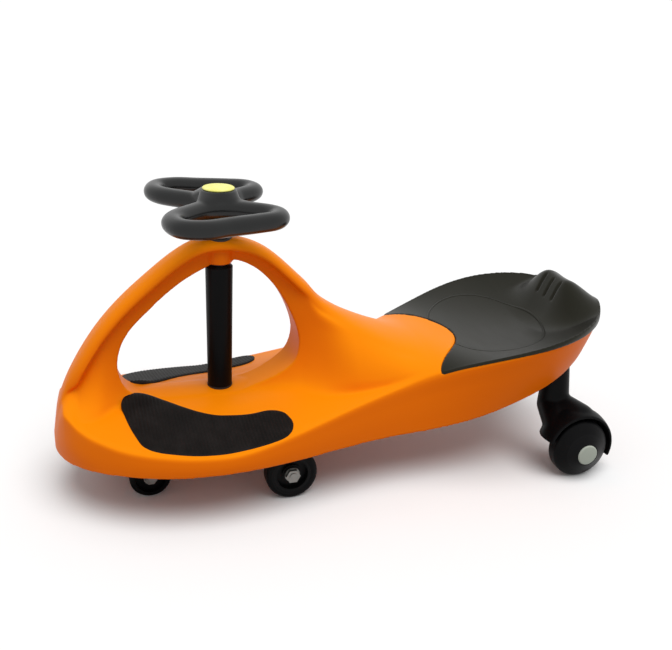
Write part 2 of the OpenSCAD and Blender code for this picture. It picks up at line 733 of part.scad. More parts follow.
// Front yoke: a hub on the shaft, a spine and two cross tubes for the axles
front_z = front_wheel_d / 2;
guide_z = guide_wheel_d / 2;
yoke_hub_d = 44;
yoke_low_z = 54;
spine_w = 34;
spine_low_z = 56;
spine_high_z = 70;
tube_wall = 5;
wheel_flange_t = 1.5;
front_low = 2;
front_inner_y = front_face_y - front_wheel_w;
front_tube_y = front_inner_y + front_low - wheel_flange_t - float;
guide_low = 2;
guide_inner_y = guide_face_y - guide_wheel_w;
guide_tube_y = guide_inner_y + guide_low - wheel_flange_t - float;
module front_yoke() {
    color(black)
        difference() {
            union() {
                translate([0, 0, yoke_low_z]) cylinder(d = yoke_hub_d, h = yoke_top_z - yoke_low_z, $fn = 48);
                translate([-trail - 14, -spine_w / 2, spine_low_z])
                    cube([trail + guide_lead + 26, spine_w, spine_high_z - spine_low_z]);
                for (y = [-front_tube_y + 6, front_tube_y - 14])
                    translate([-trail - 12, y, front_z]) cube([24, 8, spine_high_z - front_z]);
                translate([-trail - 12, -front_tube_y + 6, spine_low_z + 2])
                    cube([24, 2 * front_tube_y - 12, spine_high_z - spine_low_z - 4]);
                translate([-trail, -front_tube_y, front_z])
                    rotate([-90, 0, 0])
                        cylinder(d = front_axle_d + 2 * tube_wall, h = 2 * front_tube_y, $fn = 40);
                translate([guide_lead - 8, -spine_w / 2 + 4, guide_z])
                    cube([16, spine_w - 8, spine_high_z - guide_z - 4]);
                translate([guide_lead, -guide_tube_y, guide_z])
                    rotate([-90, 0, 0])
                        cylinder(d = guide_axle_d + 2 * tube_wall, h = 2 * guide_tube_y, $fn = 40);
            }
            translate([0, 0, yoke_low_z - 1])
                cylinder(d = shaft_d - 2 * press, h = yoke_top_z - yoke_low_z + 2, $fn = 64);
            cross_hole(bolt_z, bolt_d - 2 * press);
            translate([-trail, 0, front_z])
                rotate([90, 0, 0])
                    cylinder(d = front_axle_d - 2 * press, h = 2 * front_tube_y + 2, center = true, $fn = 40);
            translate([guide_lead, 0, guide_z])
                rotate([90, 0, 0])
                    cylinder(d = guide_axle_d - 2 * press, h = 2 * guide_tube_y + 2, center = true, $fn = 40);
        }
}
yoke_bolt_l = yoke_hub_d + 9;
nut_t = 5;
module yoke_bolt() {
    color(steel)
        translate([-yoke_hub_d / 2, 0, bolt_z]) rotate([0, 90, 0]) screw(bolt_d, yoke_bolt_l, 11);
}
module nut(d, across, h) {
    difference() {
        cylinder(d = across / cos(30), h = h, $fn = 6);
        translate([0, 0, -1]) cylinder(d = d, h = h + 2, $fn = 40);
    }
}
module yoke_nut() {
    color(steel)
        translate([yoke_hub_d / 2, 0, bolt_z]) rotate([0, 90, 0]) nut(bolt_d - 2 * press, 10, nut_t);
}

// Wheels, drawn along +Z from the inner face at z = 0
bush_wall = 2.5;
wheel_bush_l = 7;
function arc(c, r, a, b, n) = [for (i = [0:n]) c + r * [cos(lerp(a, b, i / n)), sin(lerp(a, b, i / n))]];
module tyre(d, w, bore, soft) {
    color(black)
        rotate_extrude($fn = 72)
            polygon(concat(
                [[bore / 2 - press, 1.5], [bore / 2 + 3, 0]],
                arc([d / 2 - soft, soft], soft, -90, 0, 5),
                arc([d / 2 - soft, w - soft], soft, 0, 90, 5),
                [[bore / 2 + 3, w], [bore / 2 - press, w - 1.5]]
            ));
}
module hub(d, w, axle, low, high) {
    boss = axle / 2 + bush_wall + 5;
    rim = d / 2 - 4;
    bore = axle / 2 + bush_wall;
    color(seat_grey)
        rotate_extrude($fn = 72)
            polygon([
                [bore - press, low], [boss, low], [boss, w / 2 - 3], [rim, w / 2 - 3], [rim, 1.5],
                [d / 2, 1.5], [d / 2, w - 1.5], [rim, w - 1.5], [rim, w / 2 + 3], [boss, w / 2 + 3],
                [boss, high], [bore - press, high]
            ]);
}
module hub_bushes(axle, low, high) {
    d = axle + 2 * bush_wall;
    color(pale) {
        translate([0, 0, high + wheel_flange_t - wheel_bush_l])
            bush(d, wheel_bush_l, axle + 2 * run_fit, d + 5, wheel_flange_t);
        translate([0, 0, low - wheel_flange_t + wheel_bush_l]) mirror([0, 0, 1])
            bush(d, wheel_bush_l, axle + 2 * run_fit, d + 5, wheel_flange_t);
    }
}
module facing(s, x, y, z) {
    translate([x, s * y, z]) rotate([-90 * s, 0, 0]) children();
}
front_hub_d = 50;
front_high = front_wheel_w - 6;
module front_tyre(s) {
    facing(s, -trail, front_inner_y, front_z) tyre(front_wheel_d, front_wheel_w, front_hub_d, 6);
}
module front_hub(s) {
    facing(s, -trail, front_inner_y, front_z)
        hub(front_hub_d, front_wheel_w, front_axle_d, front_low, front_high);
}
module front_bushes(s) {
    facing(s, -trail, front_inner_y, front_z) hub_bushes(front_axle_d, front_low, front_high);
}

// A guide wheel is one moulding
guide_high = guide_wheel_w - 5;
module guide_wheel(s) {
    r = guide_wheel_d / 2;
    bore = guide_axle_d / 2 + bush_wall;
    color(black) facing(s, guide_lead, guide_inner_y, guide_z)
        rotate_extrude($fn = 72)
            polygon(concat(
                [[bore - press, guide_low], [bore + 4, guide_low], [bore + 4, guide_wheel_w / 2 - 3]],
                [[r - 7, guide_wheel_w / 2 - 3], [r - 7, 0]],
                arc([r - 5, 5], 5, -90, 0, 5),
                arc([r - 5, guide_wheel_w - 5], 5, 0, 90, 5),
                [[r - 7, guide_wheel_w], [r - 7, guide_wheel_w / 2 + 3], [bore + 4, guide_wheel_w / 2 + 3]],
                [[bore + 4, guide_high], [bore - press, guide_high]]
            ));
}
module guide_bushes(s) {
    facing(s, guide_lead, guide_inner_y, guide_z) hub_bushes(guide_axle_d, guide_low, guide_high);
}

// Through axles with a washer and a nut at each end
washer_t = 1.5;
module washer(axle) {
    difference() {
        cylinder(d = axle + 10, h = washer_t, $fn = 40);
        translate([0, 0, -1]) cylinder(d = axle - 2 * press, h = washer_t + 2, $fn = 40);
    }
}
front_stop_y = front_inner_y + front_high + wheel_flange_t + float;
guide_stop_y = guide_inner_y + guide_high + wheel_flange_t + float;
front_nut_t = 5.5;
guide_nut_t = 4.5;
front_end_y = front_stop_y + washer_t + front_nut_t + 1;
guide_end_y = guide_stop_y + washer_t + guide_nut_t + 1;
module axle(x, z, d, end_y) {
    color(steel)
        translate([x, 0, z]) rotate([90, 0, 0]) cylinder(d = d, h = 2 * end_y, center = true, $fn = 40);
}
module washers(x, z, d, stop_y) {
    color(steel) for (s = [-1, 1]) facing(s, x, stop_y, z) washer(d);
}
module nuts(x, z, d, stop_y, across, thick) {
    color(steel) for (s = [-1, 1]) facing(s, x, stop_y + washer_t, z) nut(d - 2 * press, across, thick);
}
module front_axle() { axle(-trail, front_z, front_axle_d, front_end_y); }
module front_axle_washers() { washers(-trail, front_z, front_axle_d, front_stop_y); }
module front_axle_nuts() { nuts(-trail, front_z, front_axle_d, front_stop_y, 17, front_nut_t); }
module guide_axle() { axle(guide_lead, guide_z, guide_axle_d, guide_end_y); }
module guide_axle_washers() { washers(guide_lead, guide_z, guide_axle_d, guide_stop_y); }
module guide_axle_nuts() { nuts(guide_lead, guide_z, guide_axle_d, guide_stop_y, 13, guide_nut_t); }

// Rear arm: a post that bolts up under the seat, a barrel-shaped fender and an axle boss
rear_z = rear_wheel_d / 2;
rear_inner_y = rear_face_y - rear_wheel_w;
fender_in_r = rear_wheel_d / 2 + fender_room;
fender_r = fender_in_r + fender_t;
fender_back_y = 78;
fender_end_y = rear_face_y - 16;
fender_tilt = 18;
fender_drop = 2;
web_t = 6;
rear_boss_d = 28;
arm_flange_t = 6;
arm_web_y = rear_inner_y - 4 - web_t;
rear_low = 2;
rear_tube_y = rear_inner_y + rear_low - wheel_flange_t - float;
// Half outline of the hood, as [radius, distance from its closed end]
hood_line = [[0, 0], [0.26, 1], [0.52, 6], [0.7, 12], [0.84, 19], [0.98, 29], [1.04, 39], [1.03, 51]];
module hood_profile() {
    polygon(concat(
        [for (p = hood_line) [p[0] * fender_r, p[1]]],
        [[fender_r - 1.5, fender_end_y - fender_back_y], [0, fender_end_y - fender_back_y]]
    ));
}
// Where the post swells out into the hood
module shoulder(s) {
    translate([post_x, s * (post_y + 4), rear_z + 43]) sphere(d = post_d + 5, $fn = 18);
}
// Round plate with a flat that clears the inside of the shell
module arm_flange(s) {
    translate([post_x, s * post_y, post_top_z - arm_flange_t])
        rotate([0, 0, s * 113])
            intersection() {
                cylinder(r = flange_r, h = arm_flange_t, $fn = 48);
                translate([post_d / 2 - 0.5 - 4 * flange_r, -2 * flange_r, -1])
                    cube([4 * flange_r, 4 * flange_r, arm_flange_t + 2]);
            }
}
module rear_arm(s) {
    color(black)
        difference() {
            union() {
                difference() {
                    union() {
                        facing(s, -rear_reach, fender_back_y, rear_z) rotate_extrude($fn = 56) hood_profile();
                        hull() {
                            translate([post_x, s * post_y, post_top_z - 6])
                                cylinder(d = post_d - 6, h = 1, $fn = 24);
                            shoulder(s);
                        }
                        hull() {
                            shoulder(s);
                            translate([-rear_reach - 4, s * (arm_web_y + 6), rear_z + fender_r / 2 + 4])
                                sphere(r = fender_r / 2 + 2, $fn = 18);
                        }
                        hull() {
                            shoulder(s);
                            translate([fender_r / 2 - rear_reach, s * (arm_web_y + 6), rear_z + fender_r / 2])
                                sphere(r = fender_r / 3 + 2, $fn = 16);
                        }
                    }
                    translate([-rear_reach, 0, rear_z])
                        rotate([0, -fender_tilt, 0])
                            translate([-2 * fender_r, -2 * rear_face_y, -4 * fender_r - fender_drop])
                                cube([4 * fender_r, 4 * rear_face_y, 4 * fender_r]);
                    facing(s, -rear_reach, arm_web_y + web_t, rear_z)
                        cylinder(r = fender_in_r, h = rear_face_y, $fn = 72);
                }
                facing(s, -rear_reach, fender_back_y + 6, rear_z)
                    cylinder(d = rear_boss_d, h = rear_tube_y - fender_back_y - 6, $fn = 48);
                arm_flange(s);
            }
            facing(s, -rear_reach, fender_back_y - 1, rear_z)
                cylinder(d = rear_axle_d - 2 * press, h = rear_inner_y - fender_back_y + 2, $fn = 40);
            for (a = arm_screw_angles)
                translate([post_x, s * post_y, 0])
                    rotate([0, 0, s * a])
                        translate([arm_screw_r, 0, post_top_z - arm_flange_t - 1])
                            cylinder(d = arm_screw_d - 2 * press, h = arm_flange_t + 3, $fn = 24);
        }
}
module rear_arm_screws() {
    color(steel)
        for (s = [-1, 1], a = arm_screw_angles)
            translate([post_x, s * post_y, 0])
                rotate([0, 0, s * a])
                    translate([arm_screw_r, 0, post_top_z - arm_flange_t])
                        screw(arm_screw_d, arm_flange_t + 8, 8.5);
}
// The outer side of a rear wheel is a dome that runs from the tread in to the hub cap
dome_l = 20;
function dome(t) = bezier(
    [rear_wheel_d / 2, rear_wheel_w - dome_l], [rear_wheel_d / 2 - 0.5, rear_wheel_w - 0.72 * dome_l],
    [0.72 * rear_wheel_d / 2, rear_wheel_w - 0.45 * dome_l], [hub_cap_d / 2 + 1.5, rear_wheel_w], t);
dome_joint = 0.7;
rear_hub_d = 2 * dome(dome_joint)[0];
rear_high = rear_wheel_w - 13;
rear_cap_t = 4;
module rear_axle(s) {
    tip = rear_high + wheel_flange_t + float;
    color(steel) facing(s, -rear_reach, rear_inner_y, rear_z)
        rotate_extrude($fn = 48)
            polygon([
                [0, fender_back_y + 4 - rear_inner_y], [rear_axle_d / 2, fender_back_y + 4 - rear_inner_y],
                [rear_axle_d / 2, tip], [rear_axle_d / 2 + 4, tip], [rear_axle_d / 2 + 4, tip + 3],
                [rear_axle_d / 2 + 2, tip + 5], [0, tip + 5]
            ]);
}
module rear_tyre(s) {
    r = rear_wheel_d / 2;
    color(black) facing(s, -rear_reach, rear_inner_y, rear_z)
        rotate_extrude($fn = 72)
            polygon(concat(
                [[rear_hub_d / 2 - press, 1.5], [rear_hub_d / 2 + 3, 0]],
                arc([r - 7, 7], 7, -90, 0, 5),
                [for (i = [0:6]) dome(dome_joint * i / 7)],
                [[rear_hub_d / 2 - press, dome(dome_joint)[1]]]
            ));
}
module rear_hub(s) {
    bore = rear_axle_d / 2 + bush_wall;
    rim = rear_hub_d / 2;
    color(seat_grey) facing(s, -rear_reach, rear_inner_y, rear_z)
        rotate_extrude($fn = 72)
            polygon(concat(
                [[bore - press, rear_low], [bore + 5, rear_low], [bore + 5, rear_wheel_w / 2 - 3]],
                [[rim - 4, rear_wheel_w / 2 - 3], [rim - 4, 1.5], [rim, 1.5]],
                [for (i = [0:3]) dome(lerp(dome_joint, 1, i / 3))],
                [[hub_cap_d / 2 - press, rear_wheel_w - 0.5], [hub_cap_d / 2 - press, rear_high]],
                [[bore - press, rear_high]]
            ));
}
module rear_bushes(s) {
    facing(s, -rear_reach, rear_inner_y, rear_z) hub_bushes(rear_axle_d, rear_low, rear_high);
}
module rear_hub_cap(s) {
    top = rear_wheel_w + 2;
    color(pale) facing(s, -rear_reach, rear_inner_y, rear_z)
        rotate_extrude($fn = 48)
            polygon([
                [0, top - rear_cap_t], [hub_cap_d / 2, top - rear_cap_t - 2], [hub_cap_d / 2, top - 1.5],
                [hub_cap_d / 2 - 1.5, top - 0.4], [hub_cap_d / 4, top], [0, top]
            ]);
}

module placed() { translate([column_x, 0, 0]) children(); }
placed() body_shell();
placed() seat();
placed() seat_screws();
placed() foot_pad(1);  // foot_pad_left
placed() foot_pad(-1);  // foot_pad_right
placed() upper_column_bush();
placed() lower_column_bush();
placed() rear_arm(1);  // rear_arm_left
placed() rear_arm(-1);  // rear_arm_right
placed() rear_arm_screws();
placed() rear_axle(1);  // rear_axle_left
placed() rear_axle(-1);  // rear_axle_right
placed() steering_wheel();
placed() steering_cap();
placed() steering_screw();
placed() steering_shaft();
placed() column_sleeve();
placed() front_yoke();
placed() yoke_bolt();
placed() yoke_nut();
placed() front_axle();
placed() front_axle_washers();
placed() front_axle_nuts();
placed() guide_axle();
placed() guide_axle_washers();
placed() guide_axle_nuts();
placed() front_tyre(1);  // front_tyre_left
placed() front_hub(1);  // front_hub_left
placed() front_bushes(1);  // front_bushes_left
placed() front_tyre(-1);  // front_tyre_right
placed() front_hub(-1);  // front_hub_right
placed() front_bushes(-1);  // front_bushes_right
placed() guide_wheel(1);  // guide_wheel_left
placed() guide_bushes(1);  // guide_bushes_left
placed() guide_wheel(-1);  // guide_wheel_right
placed() guide_bushes(-1);  // guide_bushes_right
placed() rear_tyre(1);  // rear_tyre_left
placed() rear_hub(1);  // rear_hub_left
placed() rear_bushes(1);  // rear_bushes_left
placed() rear_hub_cap(1);  // rear_hub_cap_left
placed() rear_tyre(-1);  // rear_tyre_right
placed() rear_hub(-1);  // rear_hub_right
placed() rear_bushes(-1);  // rear_bushes_right
placed() rear_hub_cap(-1);  // rear_hub_cap_right
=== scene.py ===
import math

import bmesh
import bpy
import numpy as np
from mathutils import Matrix, Vector


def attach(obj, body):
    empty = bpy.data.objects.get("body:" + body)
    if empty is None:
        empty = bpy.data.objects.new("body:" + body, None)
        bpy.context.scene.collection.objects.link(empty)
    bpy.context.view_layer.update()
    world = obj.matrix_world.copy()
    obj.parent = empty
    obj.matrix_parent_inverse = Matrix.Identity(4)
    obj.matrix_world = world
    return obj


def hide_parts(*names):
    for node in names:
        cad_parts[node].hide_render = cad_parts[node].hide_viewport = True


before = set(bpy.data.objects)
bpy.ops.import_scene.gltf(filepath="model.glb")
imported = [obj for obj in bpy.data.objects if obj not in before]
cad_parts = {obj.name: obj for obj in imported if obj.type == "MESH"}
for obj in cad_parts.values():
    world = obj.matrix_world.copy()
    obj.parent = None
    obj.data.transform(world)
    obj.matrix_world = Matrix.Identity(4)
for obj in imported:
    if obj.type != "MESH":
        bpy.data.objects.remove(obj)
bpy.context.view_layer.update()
scene = bpy.context.scene
scene.view_settings.view_transform = "Standard"

# Lengths are in millimetres with the steering axis at x = 0, until a mesh is made
NOSE = 215.4
TAIL = 547.2
COLUMN = 166.0
WIDEST = 22.0
DECK_HALF = 138.0
WAIST = 235.0
WAIST_HALF = 103.0
SEAT_X = 410.0
SEAT_HALF = 139.0
SEAT_T = 5.0
HORN = 272.0
TONGUE = 62.0
ARCH_Z = 334.0
ARCH_DEPTH = 28.0
BAND = 23.0
WEB = 10.0
WINDOW_FRONT = 133.0
WINDOW_BACK = 104.0
WINDOW_CORNER = 171.0
WINDOW_LOW = 142.0
DECK_Z = 131.0
CREASE_Z = 97.5
RIM_Z = 72.0
SEAT_RIM_Z = 203.0
TAIL_Z = 219.0
FLOOR_Z = 177.0
LIP = 51.0
WALL = 4.0
BULGE = 1.2
BUSH_D = 25.0
FLANGE_D = 52.0
FLANGE_LOW = 155.0
FLANGE_TOP = 161.0
SHELL_IN = 1.6


# Camera

def place_camera():
    turn, tilt, roll = (math.radians(a) for a in (19.137, 21.691, 2.471))
    back = Vector((math.cos(tilt) * math.sin(turn), math.cos(tilt) * math.cos(turn), math.sin(tilt)))
    side = Vector((-math.cos(turn), math.sin(turn), 0))
    up = back.cross(side)
    across = side * math.cos(roll) + up * math.sin(roll)
    above = up * math.cos(roll) - side * math.sin(roll)
    view = Matrix((across, above, back)).transposed().to_4x4()
    view.translation = Vector((0.220444 + COLUMN / 1000, 1.097971, 0.663109))
    data = bpy.data.cameras.new("camera")
    data.sensor_width = 36
    data.lens = 49.24
    data.clip_start = 0.01
    camera = bpy.data.objects.new("camera", data)
    camera.matrix_world = view
    scene.collection.objects.link(camera)
    scene.camera = camera


place_camera()


# Curves and outlines

def curve(knots, x):
    """Smooth curve through [x, value] knots in rising x."""
    k = np.array(knots, float)
    x = np.asarray(x, float)
    n = len(k)
    before = np.maximum(np.arange(n) - 1, 0)
    after = np.minimum(np.arange(n) + 1, n - 1)
    lean = (k[after, 1] - k[before, 1]) / (k[after, 0] - k[before, 0])
    i = np.clip(np.searchsorted(k[:, 0], x, "right") - 1, 0, n - 2)
    h = k[i + 1, 0] - k[i, 0]
    t = np.clip((x - k[i, 0]) / h, 0, 1)
    s = 1 - t
    return (k[i, 1] * s * s * (1 + 2 * t) + k[i + 1, 1] * t * t * (3 - 2 * t)
            + lean[i] * h * t * s * s - lean[i + 1] * h * t * t * s)


def ease(t):
    u = np.clip(t, 0, 1)
    return u * u * (3 - 2 * u)


def lerp(a, b, t):
    return a + (b - a) * t


def bezier(a, b, c, d, t):
    s = 1 - t
    return a * s ** 3 + 3 * b * s * s * t + 3 * c * s * t * t + d * t ** 3


def through(points, fine, closed=False):
    """Points on a smooth line through the given ones, fine steps to each stretch."""
    p = np.array(points, float)
    n = len(p)
    out = []
    for i in range(n if closed else n - 1):
        if closed:
            a, b, c, d = (p[(i + k) % n] for k in (-1, 0, 1, 2))
        else:
            b, c = p[i], p[i + 1]
            a = p[i - 1] if i else 2 * b - c
            d = p[i + 2] if i + 2 < n else 2 * c - b
        knots = [0.0]
        for u, v in ((a, b), (b, c), (c, d)):
            knots.append(knots[-1] + max(np.linalg.norm(v - u), 1e-6) ** 0.5)
        t0, t1, t2, t3 = knots
        for j in range(fine):
            t = lerp(t1, t2, j / fine)
            ab = lerp(a, b, (t - t0) / (t1 - t0))
            bc = lerp(b, c, (t - t1) / (t2 - t1))
            cd = lerp(c, d, (t - t2) / (t3 - t2))
            out.append(lerp(lerp(ab, bc, (t - t0) / (t2 - t0)), lerp(bc, cd, (t - t1) / (t3 - t1)),
                            (t - t1) / (t2 - t1)))
    if not closed:
        out.append(p[-1])
    return np.array(out)


# Lines of the body

def edge_y(x):
    x = np.asarray(x, float)
    nose = DECK_HALF * np.sqrt(np.maximum(1 - ((x - WIDEST) / (NOSE - WIDEST)) ** 2, 0))
    waist = lerp(DECK_HALF, WAIST_HALF, ease((WIDEST - x) / (WIDEST + WAIST)))
    hips = lerp(WAIST_HALF, SEAT_HALF, ease((-WAIST - x) / (SEAT_X - WAIST)))
    tail = SEAT_HALF * np.sqrt(np.maximum(1 - ((x + SEAT_X) / (TAIL - SEAT_X)) ** 2, 0))
    return np.where(x >= WIDEST, nose, np.where(x >= -WAIST, waist, np.where(x >= -SEAT_X, hips, tail)))


def rim_y(x):
    return edge_y(x) * (1 - 0.18 * ease((-WAIST - x) / (SEAT_X - WAIST)))


def crease_y(x):
    return edge_y(x) * curve([[0, 1], [130, 0.99], [165, 0.97], [185, 0.93], [202, 0.82], [NOSE, 0.6]], x)


def low_z(x):
    return curve([[-TAIL, 214], [-515, 188], [-480, 157], [-418, 125], [-337, 95], [-264, 80],
                  [-190, RIM_Z + 4], [-60, RIM_Z + 0.5], [60, RIM_Z], [140, RIM_Z - 1], [NOSE, 66]], x)


def ridge_z(x):
    return curve([[-SEAT_X, FLOOR_Z], [-HORN - TONGUE, FLOOR_Z], [-HORN, FLOOR_Z + 7], [-220, 199],
                  [-180, 217], [-155, 231], [-133, 247], [-112, 271], [-59, ARCH_Z - 16], [-10, ARCH_Z],
                  [38, ARCH_Z - 7], [98, 284], [150, 232.5], [190, 172], [208, 127], [NOSE, 84]], x)


def crease_h(x):
    z = curve([[-TAIL, TAIL_Z], [-500, SEAT_RIM_Z + 16], [-SEAT_X, SEAT_RIM_Z], [-305, 176], [-218, 148],
               [-136, 127], [-55, CREASE_Z + 10], [0, CREASE_Z], [40, CREASE_Z], [82, CREASE_Z + 2.5],
               [132, CREASE_Z + 7], [167, CREASE_Z + 14], [186, CREASE_Z + 21], [197, CREASE_Z + 28],
               [207, CREASE_Z + 32], [NOSE, CREASE_Z + 32]], x)
    return np.where(np.asarray(x) < WIDEST, z, np.minimum(z, lerp(low_z(x), ridge_z(x), 0.84)))


def deck_h(x, y):
    middle = curve([[-HORN, FLOOR_Z + 1], [-160, 154], [-100, DECK_Z + 12], [-45, DECK_Z + 3], [0, DECK_Z],
                    [120, DECK_Z + 3], [160, DECK_Z + 3], [185, DECK_Z + 5], [203, DECK_Z + 12],
                    [NOSE, 84]], x)
    crown = 0.15
    share = np.abs(y) / crease_y(x)
    fall = (np.sqrt(share ** 2 + crown ** 2) - crown) / (math.sqrt(1 + crown ** 2) - crown)
    return lerp(np.minimum(middle, ridge_z(x)), crease_h(x), fall)


def lip_h(x, y):
    rise = curve([[-TAIL, 0], [-541, 0.14], [-533, 0.32], [-520, 0.62], [-508, 0.87], [-497, 1],
                  [-489, 0.93], [-480, 0.62], [-470, 0.27], [-459, 0.08], [-449, 0.01], [-443, 0]], x)
    return LIP * rise * ease(1 - (np.abs(y) - 22) / 68)


def seat_h(x, y):
    floor = curve([[-TAIL, TAIL_Z], [-470, FLOOR_Z + 10], [-SEAT_X, FLOOR_Z], [-HORN - TONGUE, FLOOR_Z],
                   [-HORN, FLOOR_Z + 7]], x)
    middle = np.where(np.asarray(x) < -HORN, floor, ridge_z(x))
    out = np.minimum(np.abs(y) / np.maximum(edge_y(x), 1e-3), 1) ** 1.9
    return lerp(middle, crease_h(x), out) + lip_h(x, y)


def band_y(x):
    return curve([[-HORN, 66], [-200, 46], [-150, 30], [-112, BAND + 2], [-59, BAND], [98, BAND],
                  [165, BAND + 1], [185, BAND], [202, 17], [NOSE, 9]], x)


def web_y(x):
    return curve([[-HORN, 74], [-200, 54], [-150, 38], [-112, BAND], [-85, WEB + 2], [-59, WEB], [110, WEB],
                  [150, WEB + 1], [180, WEB + 3], [202, 16], [NOSE, 8]], x)


def foot_y(x):
    y = curve([[-HORN, 98], [-200, 92], [-150, 82], [-112, 64], [-75, 40], [-40, 25], [80, 22], [115, 25],
               [140, 34], [165, 52], [185, 54], [202, 40], [NOSE, 14]], x)
    return np.minimum(y, crease_y(x) * 0.93)


def skirt(x, ey, ez, out):
    """The side from the lower edge up to the crease, bulging out."""
    ry, rz = rim_y(x), low_z(x)
    low = (lerp(ry, ey, 0.35) + out, lerp(rz, ez, 0.33))
    high = (lerp(ry, ey, 0.7) + out, lerp(rz, ez, 0.66))
    return [(ry, rz), low, high, (ey + (out - BULGE) * 0.5, ez - 1.4)]


def arch_half(x):
    """Half a section from the lower edge over the deck and up the side of the ridge."""
    ey, ez, top_z = crease_y(x), crease_h(x), ridge_z(x)
    by, wy, fy = band_y(x), web_y(x), foot_y(x)
    fz = deck_h(x, fy)
    pitch = math.sqrt(1 + ((ridge_z(x + 1) - ridge_z(x - 1)) / 2) ** 2)
    n = min(pitch, max(top_z - fz, 0) / 30)
    top = np.array([wy, top_z - 14.5 * n])
    drop = max(top[1] - fz, 0)
    f = max(ease((-WINDOW_BACK + 12 - x) / 85), ease((x - WINDOW_FRONT - 47) / 34))
    swell = BULGE + 4 * ease((x - NOSE + 55) / 45)
    half = skirt(x, ey, ez, swell)
    half += [(y, deck_h(x, y)) for y in np.linspace(ey - 2.5, fy, 5)]
    foot = np.array([fy, fz])
    full = max(ease((-100 - x) / 70), 0.6 * ease((x - 105) / 55))
    out = (6 if x < 0 else 0) * np.array([drop, fy - wy]) / max(math.hypot(drop, fy - wy), 1)
    inward = np.array([lerp(fy, wy, 0.75), lerp(fz, deck_h(x, wy), 0.75)])
    low = lerp(inward, lerp(foot, top, 0.33) + out, full)
    high = lerp(top - [0, 0.55 * drop], lerp(foot, top, 0.67) + out, full)
    half += [tuple(bezier(foot, low, high, top, i / 6)) for i in range(1, 7)]
    half += [(lerp(by * 0.97, wy * 0.86, f), top_z - lerp(12.6, 9.5, f) * n),
             (lerp(by, wy * 0.7, f), top_z - lerp(10.2, 5.6, f) * n),
             (lerp(by * 0.86, wy * 0.5, f), top_z - lerp(4.6, 2.6, f) * n),
             (lerp(by * 0.5, wy * 0.25, f), top_z - lerp(0.9, 0.6, f) * n)]
    return np.array(half, float)


def hull_half(x):
    ey = edge_y(x)
    half = skirt(x, ey, crease_h(x), BULGE)
    half += [(ey * (1 - i / 16), seat_h(x, ey * (1 - i / 16))) for i in range(1, 16)]
    return np.array(half, float)


def body_half(x):
    if x <= -HORN:
        return hull_half(x)
    t = float(ease((WAIST - 30 + x) / (WAIST - 30 - HORN)))
    arch, hull = arch_half(x), hull_half(x)
    if t == 0:
        return arch
    half = lerp(arch, hull, t)
    over = np.concatenate([arch[4:], [[0, ridge_z(x)]]])[::-1]
    y = half[4:, 0]
    half[4:, 1] = lerp(np.interp(y, over[:, 0], over[:, 1]), seat_h(x, y), t)
    return half


def ring_at(x, half, top, fine=0):
    half = np.asarray(half, float)
    line = np.concatenate([half, [[0, top]], half[::-1] * [-1, 1]])
    if fine:
        line = through(line, fine)
    return np.column_stack([np.full(len(line), x), line])


# Meshes

def make(name, points, faces):
    """A mesh object from points in millimetres."""
    mesh = bpy.data.meshes.new(name)
    p = np.asarray(points, float) + [COLUMN, 0, 0]
    mesh.from_pydata((p / 1000).tolist(), [], faces)
    mesh.update()
    piece = bpy.data.objects.new(name, mesh)
    scene.collection.objects.link(piece)
    work = bmesh.new()
    work.from_mesh(mesh)
    bmesh.ops.remove_doubles(work, verts=work.verts, dist=1e-7)
    bmesh.ops.recalc_face_normals(work, faces=work.faces)
    work.to_mesh(mesh)
    work.free()
    return piece


def loft(name, rings, round_trip=False):
    """A closed solid through rings of equally many points."""
    m, n = len(rings), len(rings[0])
    faces = []
    for i in range(m if round_trip else m - 1):
        for j in range(n):
            k = (j + 1) % n
            a, b = i * n, ((i + 1) % m) * n
            faces.append((a + j, a + k, b + k, b + j))
    if not round_trip:
        faces.append(tuple(range(n - 1, -1, -1)))
        faces.append(tuple((m - 1) * n + j for j in range(n)))
    return make(name, np.concatenate(rings), faces)


def turned(name, profile, sides, origin, axis):
    """A closed solid turned about an axis, from [radius, distance along the axis] points."""
    axis = np.array(axis, float)
    u = np.array([1.0, 0, 0]) if abs(axis[0]) < 0.5 else np.array([0, 0, 1.0])
    v = np.cross(axis, u)
    a = np.linspace(0, 2 * math.pi, sides, endpoint=False)
    wheel = np.outer(np.cos(a), u) + np.outer(np.sin(a), v)
    rings = [np.array(origin, float) + axis * h + wheel * max(r, 0.01) for r, h in profile]
    return loft(name, rings)


def ball(origin, radius):
    work = bmesh.new()
    bmesh.ops.create_icosphere(work, subdivisions=4, radius=radius)
    p = np.array([v.co for v in work.verts]) + np.array(origin, float)
    work.free()
    return p


def disc(origin, radius, sides=48):
    a = np.linspace(0, 2 * math.pi, sides, endpoint=False)
    ring = np.column_stack([radius * np.cos(a), radius * np.sin(a), np.zeros(sides)])
    return ring + np.array(origin, float)


def wrap(name, *clouds):
    """The convex solid round some points."""
    piece = make(name, np.concatenate(clouds), [])
    work = bmesh.new()
    work.from_mesh(piece.data)
    found = bmesh.ops.convex_hull(work, input=work.verts)
    spare = [v for v in found["geom_interior"] + found["geom_unused"] if isinstance(v, bmesh.types.BMVert)]
    bmesh.ops.delete(work, geom=list(set(spare)), context="VERTS")
    bmesh.ops.recalc_face_normals(work, faces=work.faces)
    work.to_mesh(piece.data)
    work.free()
    return piece


def settle(piece):
    """Turns the modifiers of a piece into its mesh."""
    seen = piece.evaluated_get(bpy.context.evaluated_depsgraph_get())
    mesh = bpy.data.meshes.new_from_object(seen)
    old = piece.data
    piece.modifiers.clear()
    piece.data = mesh
    mesh.name = piece.name
    bpy.data.meshes.remove(old)


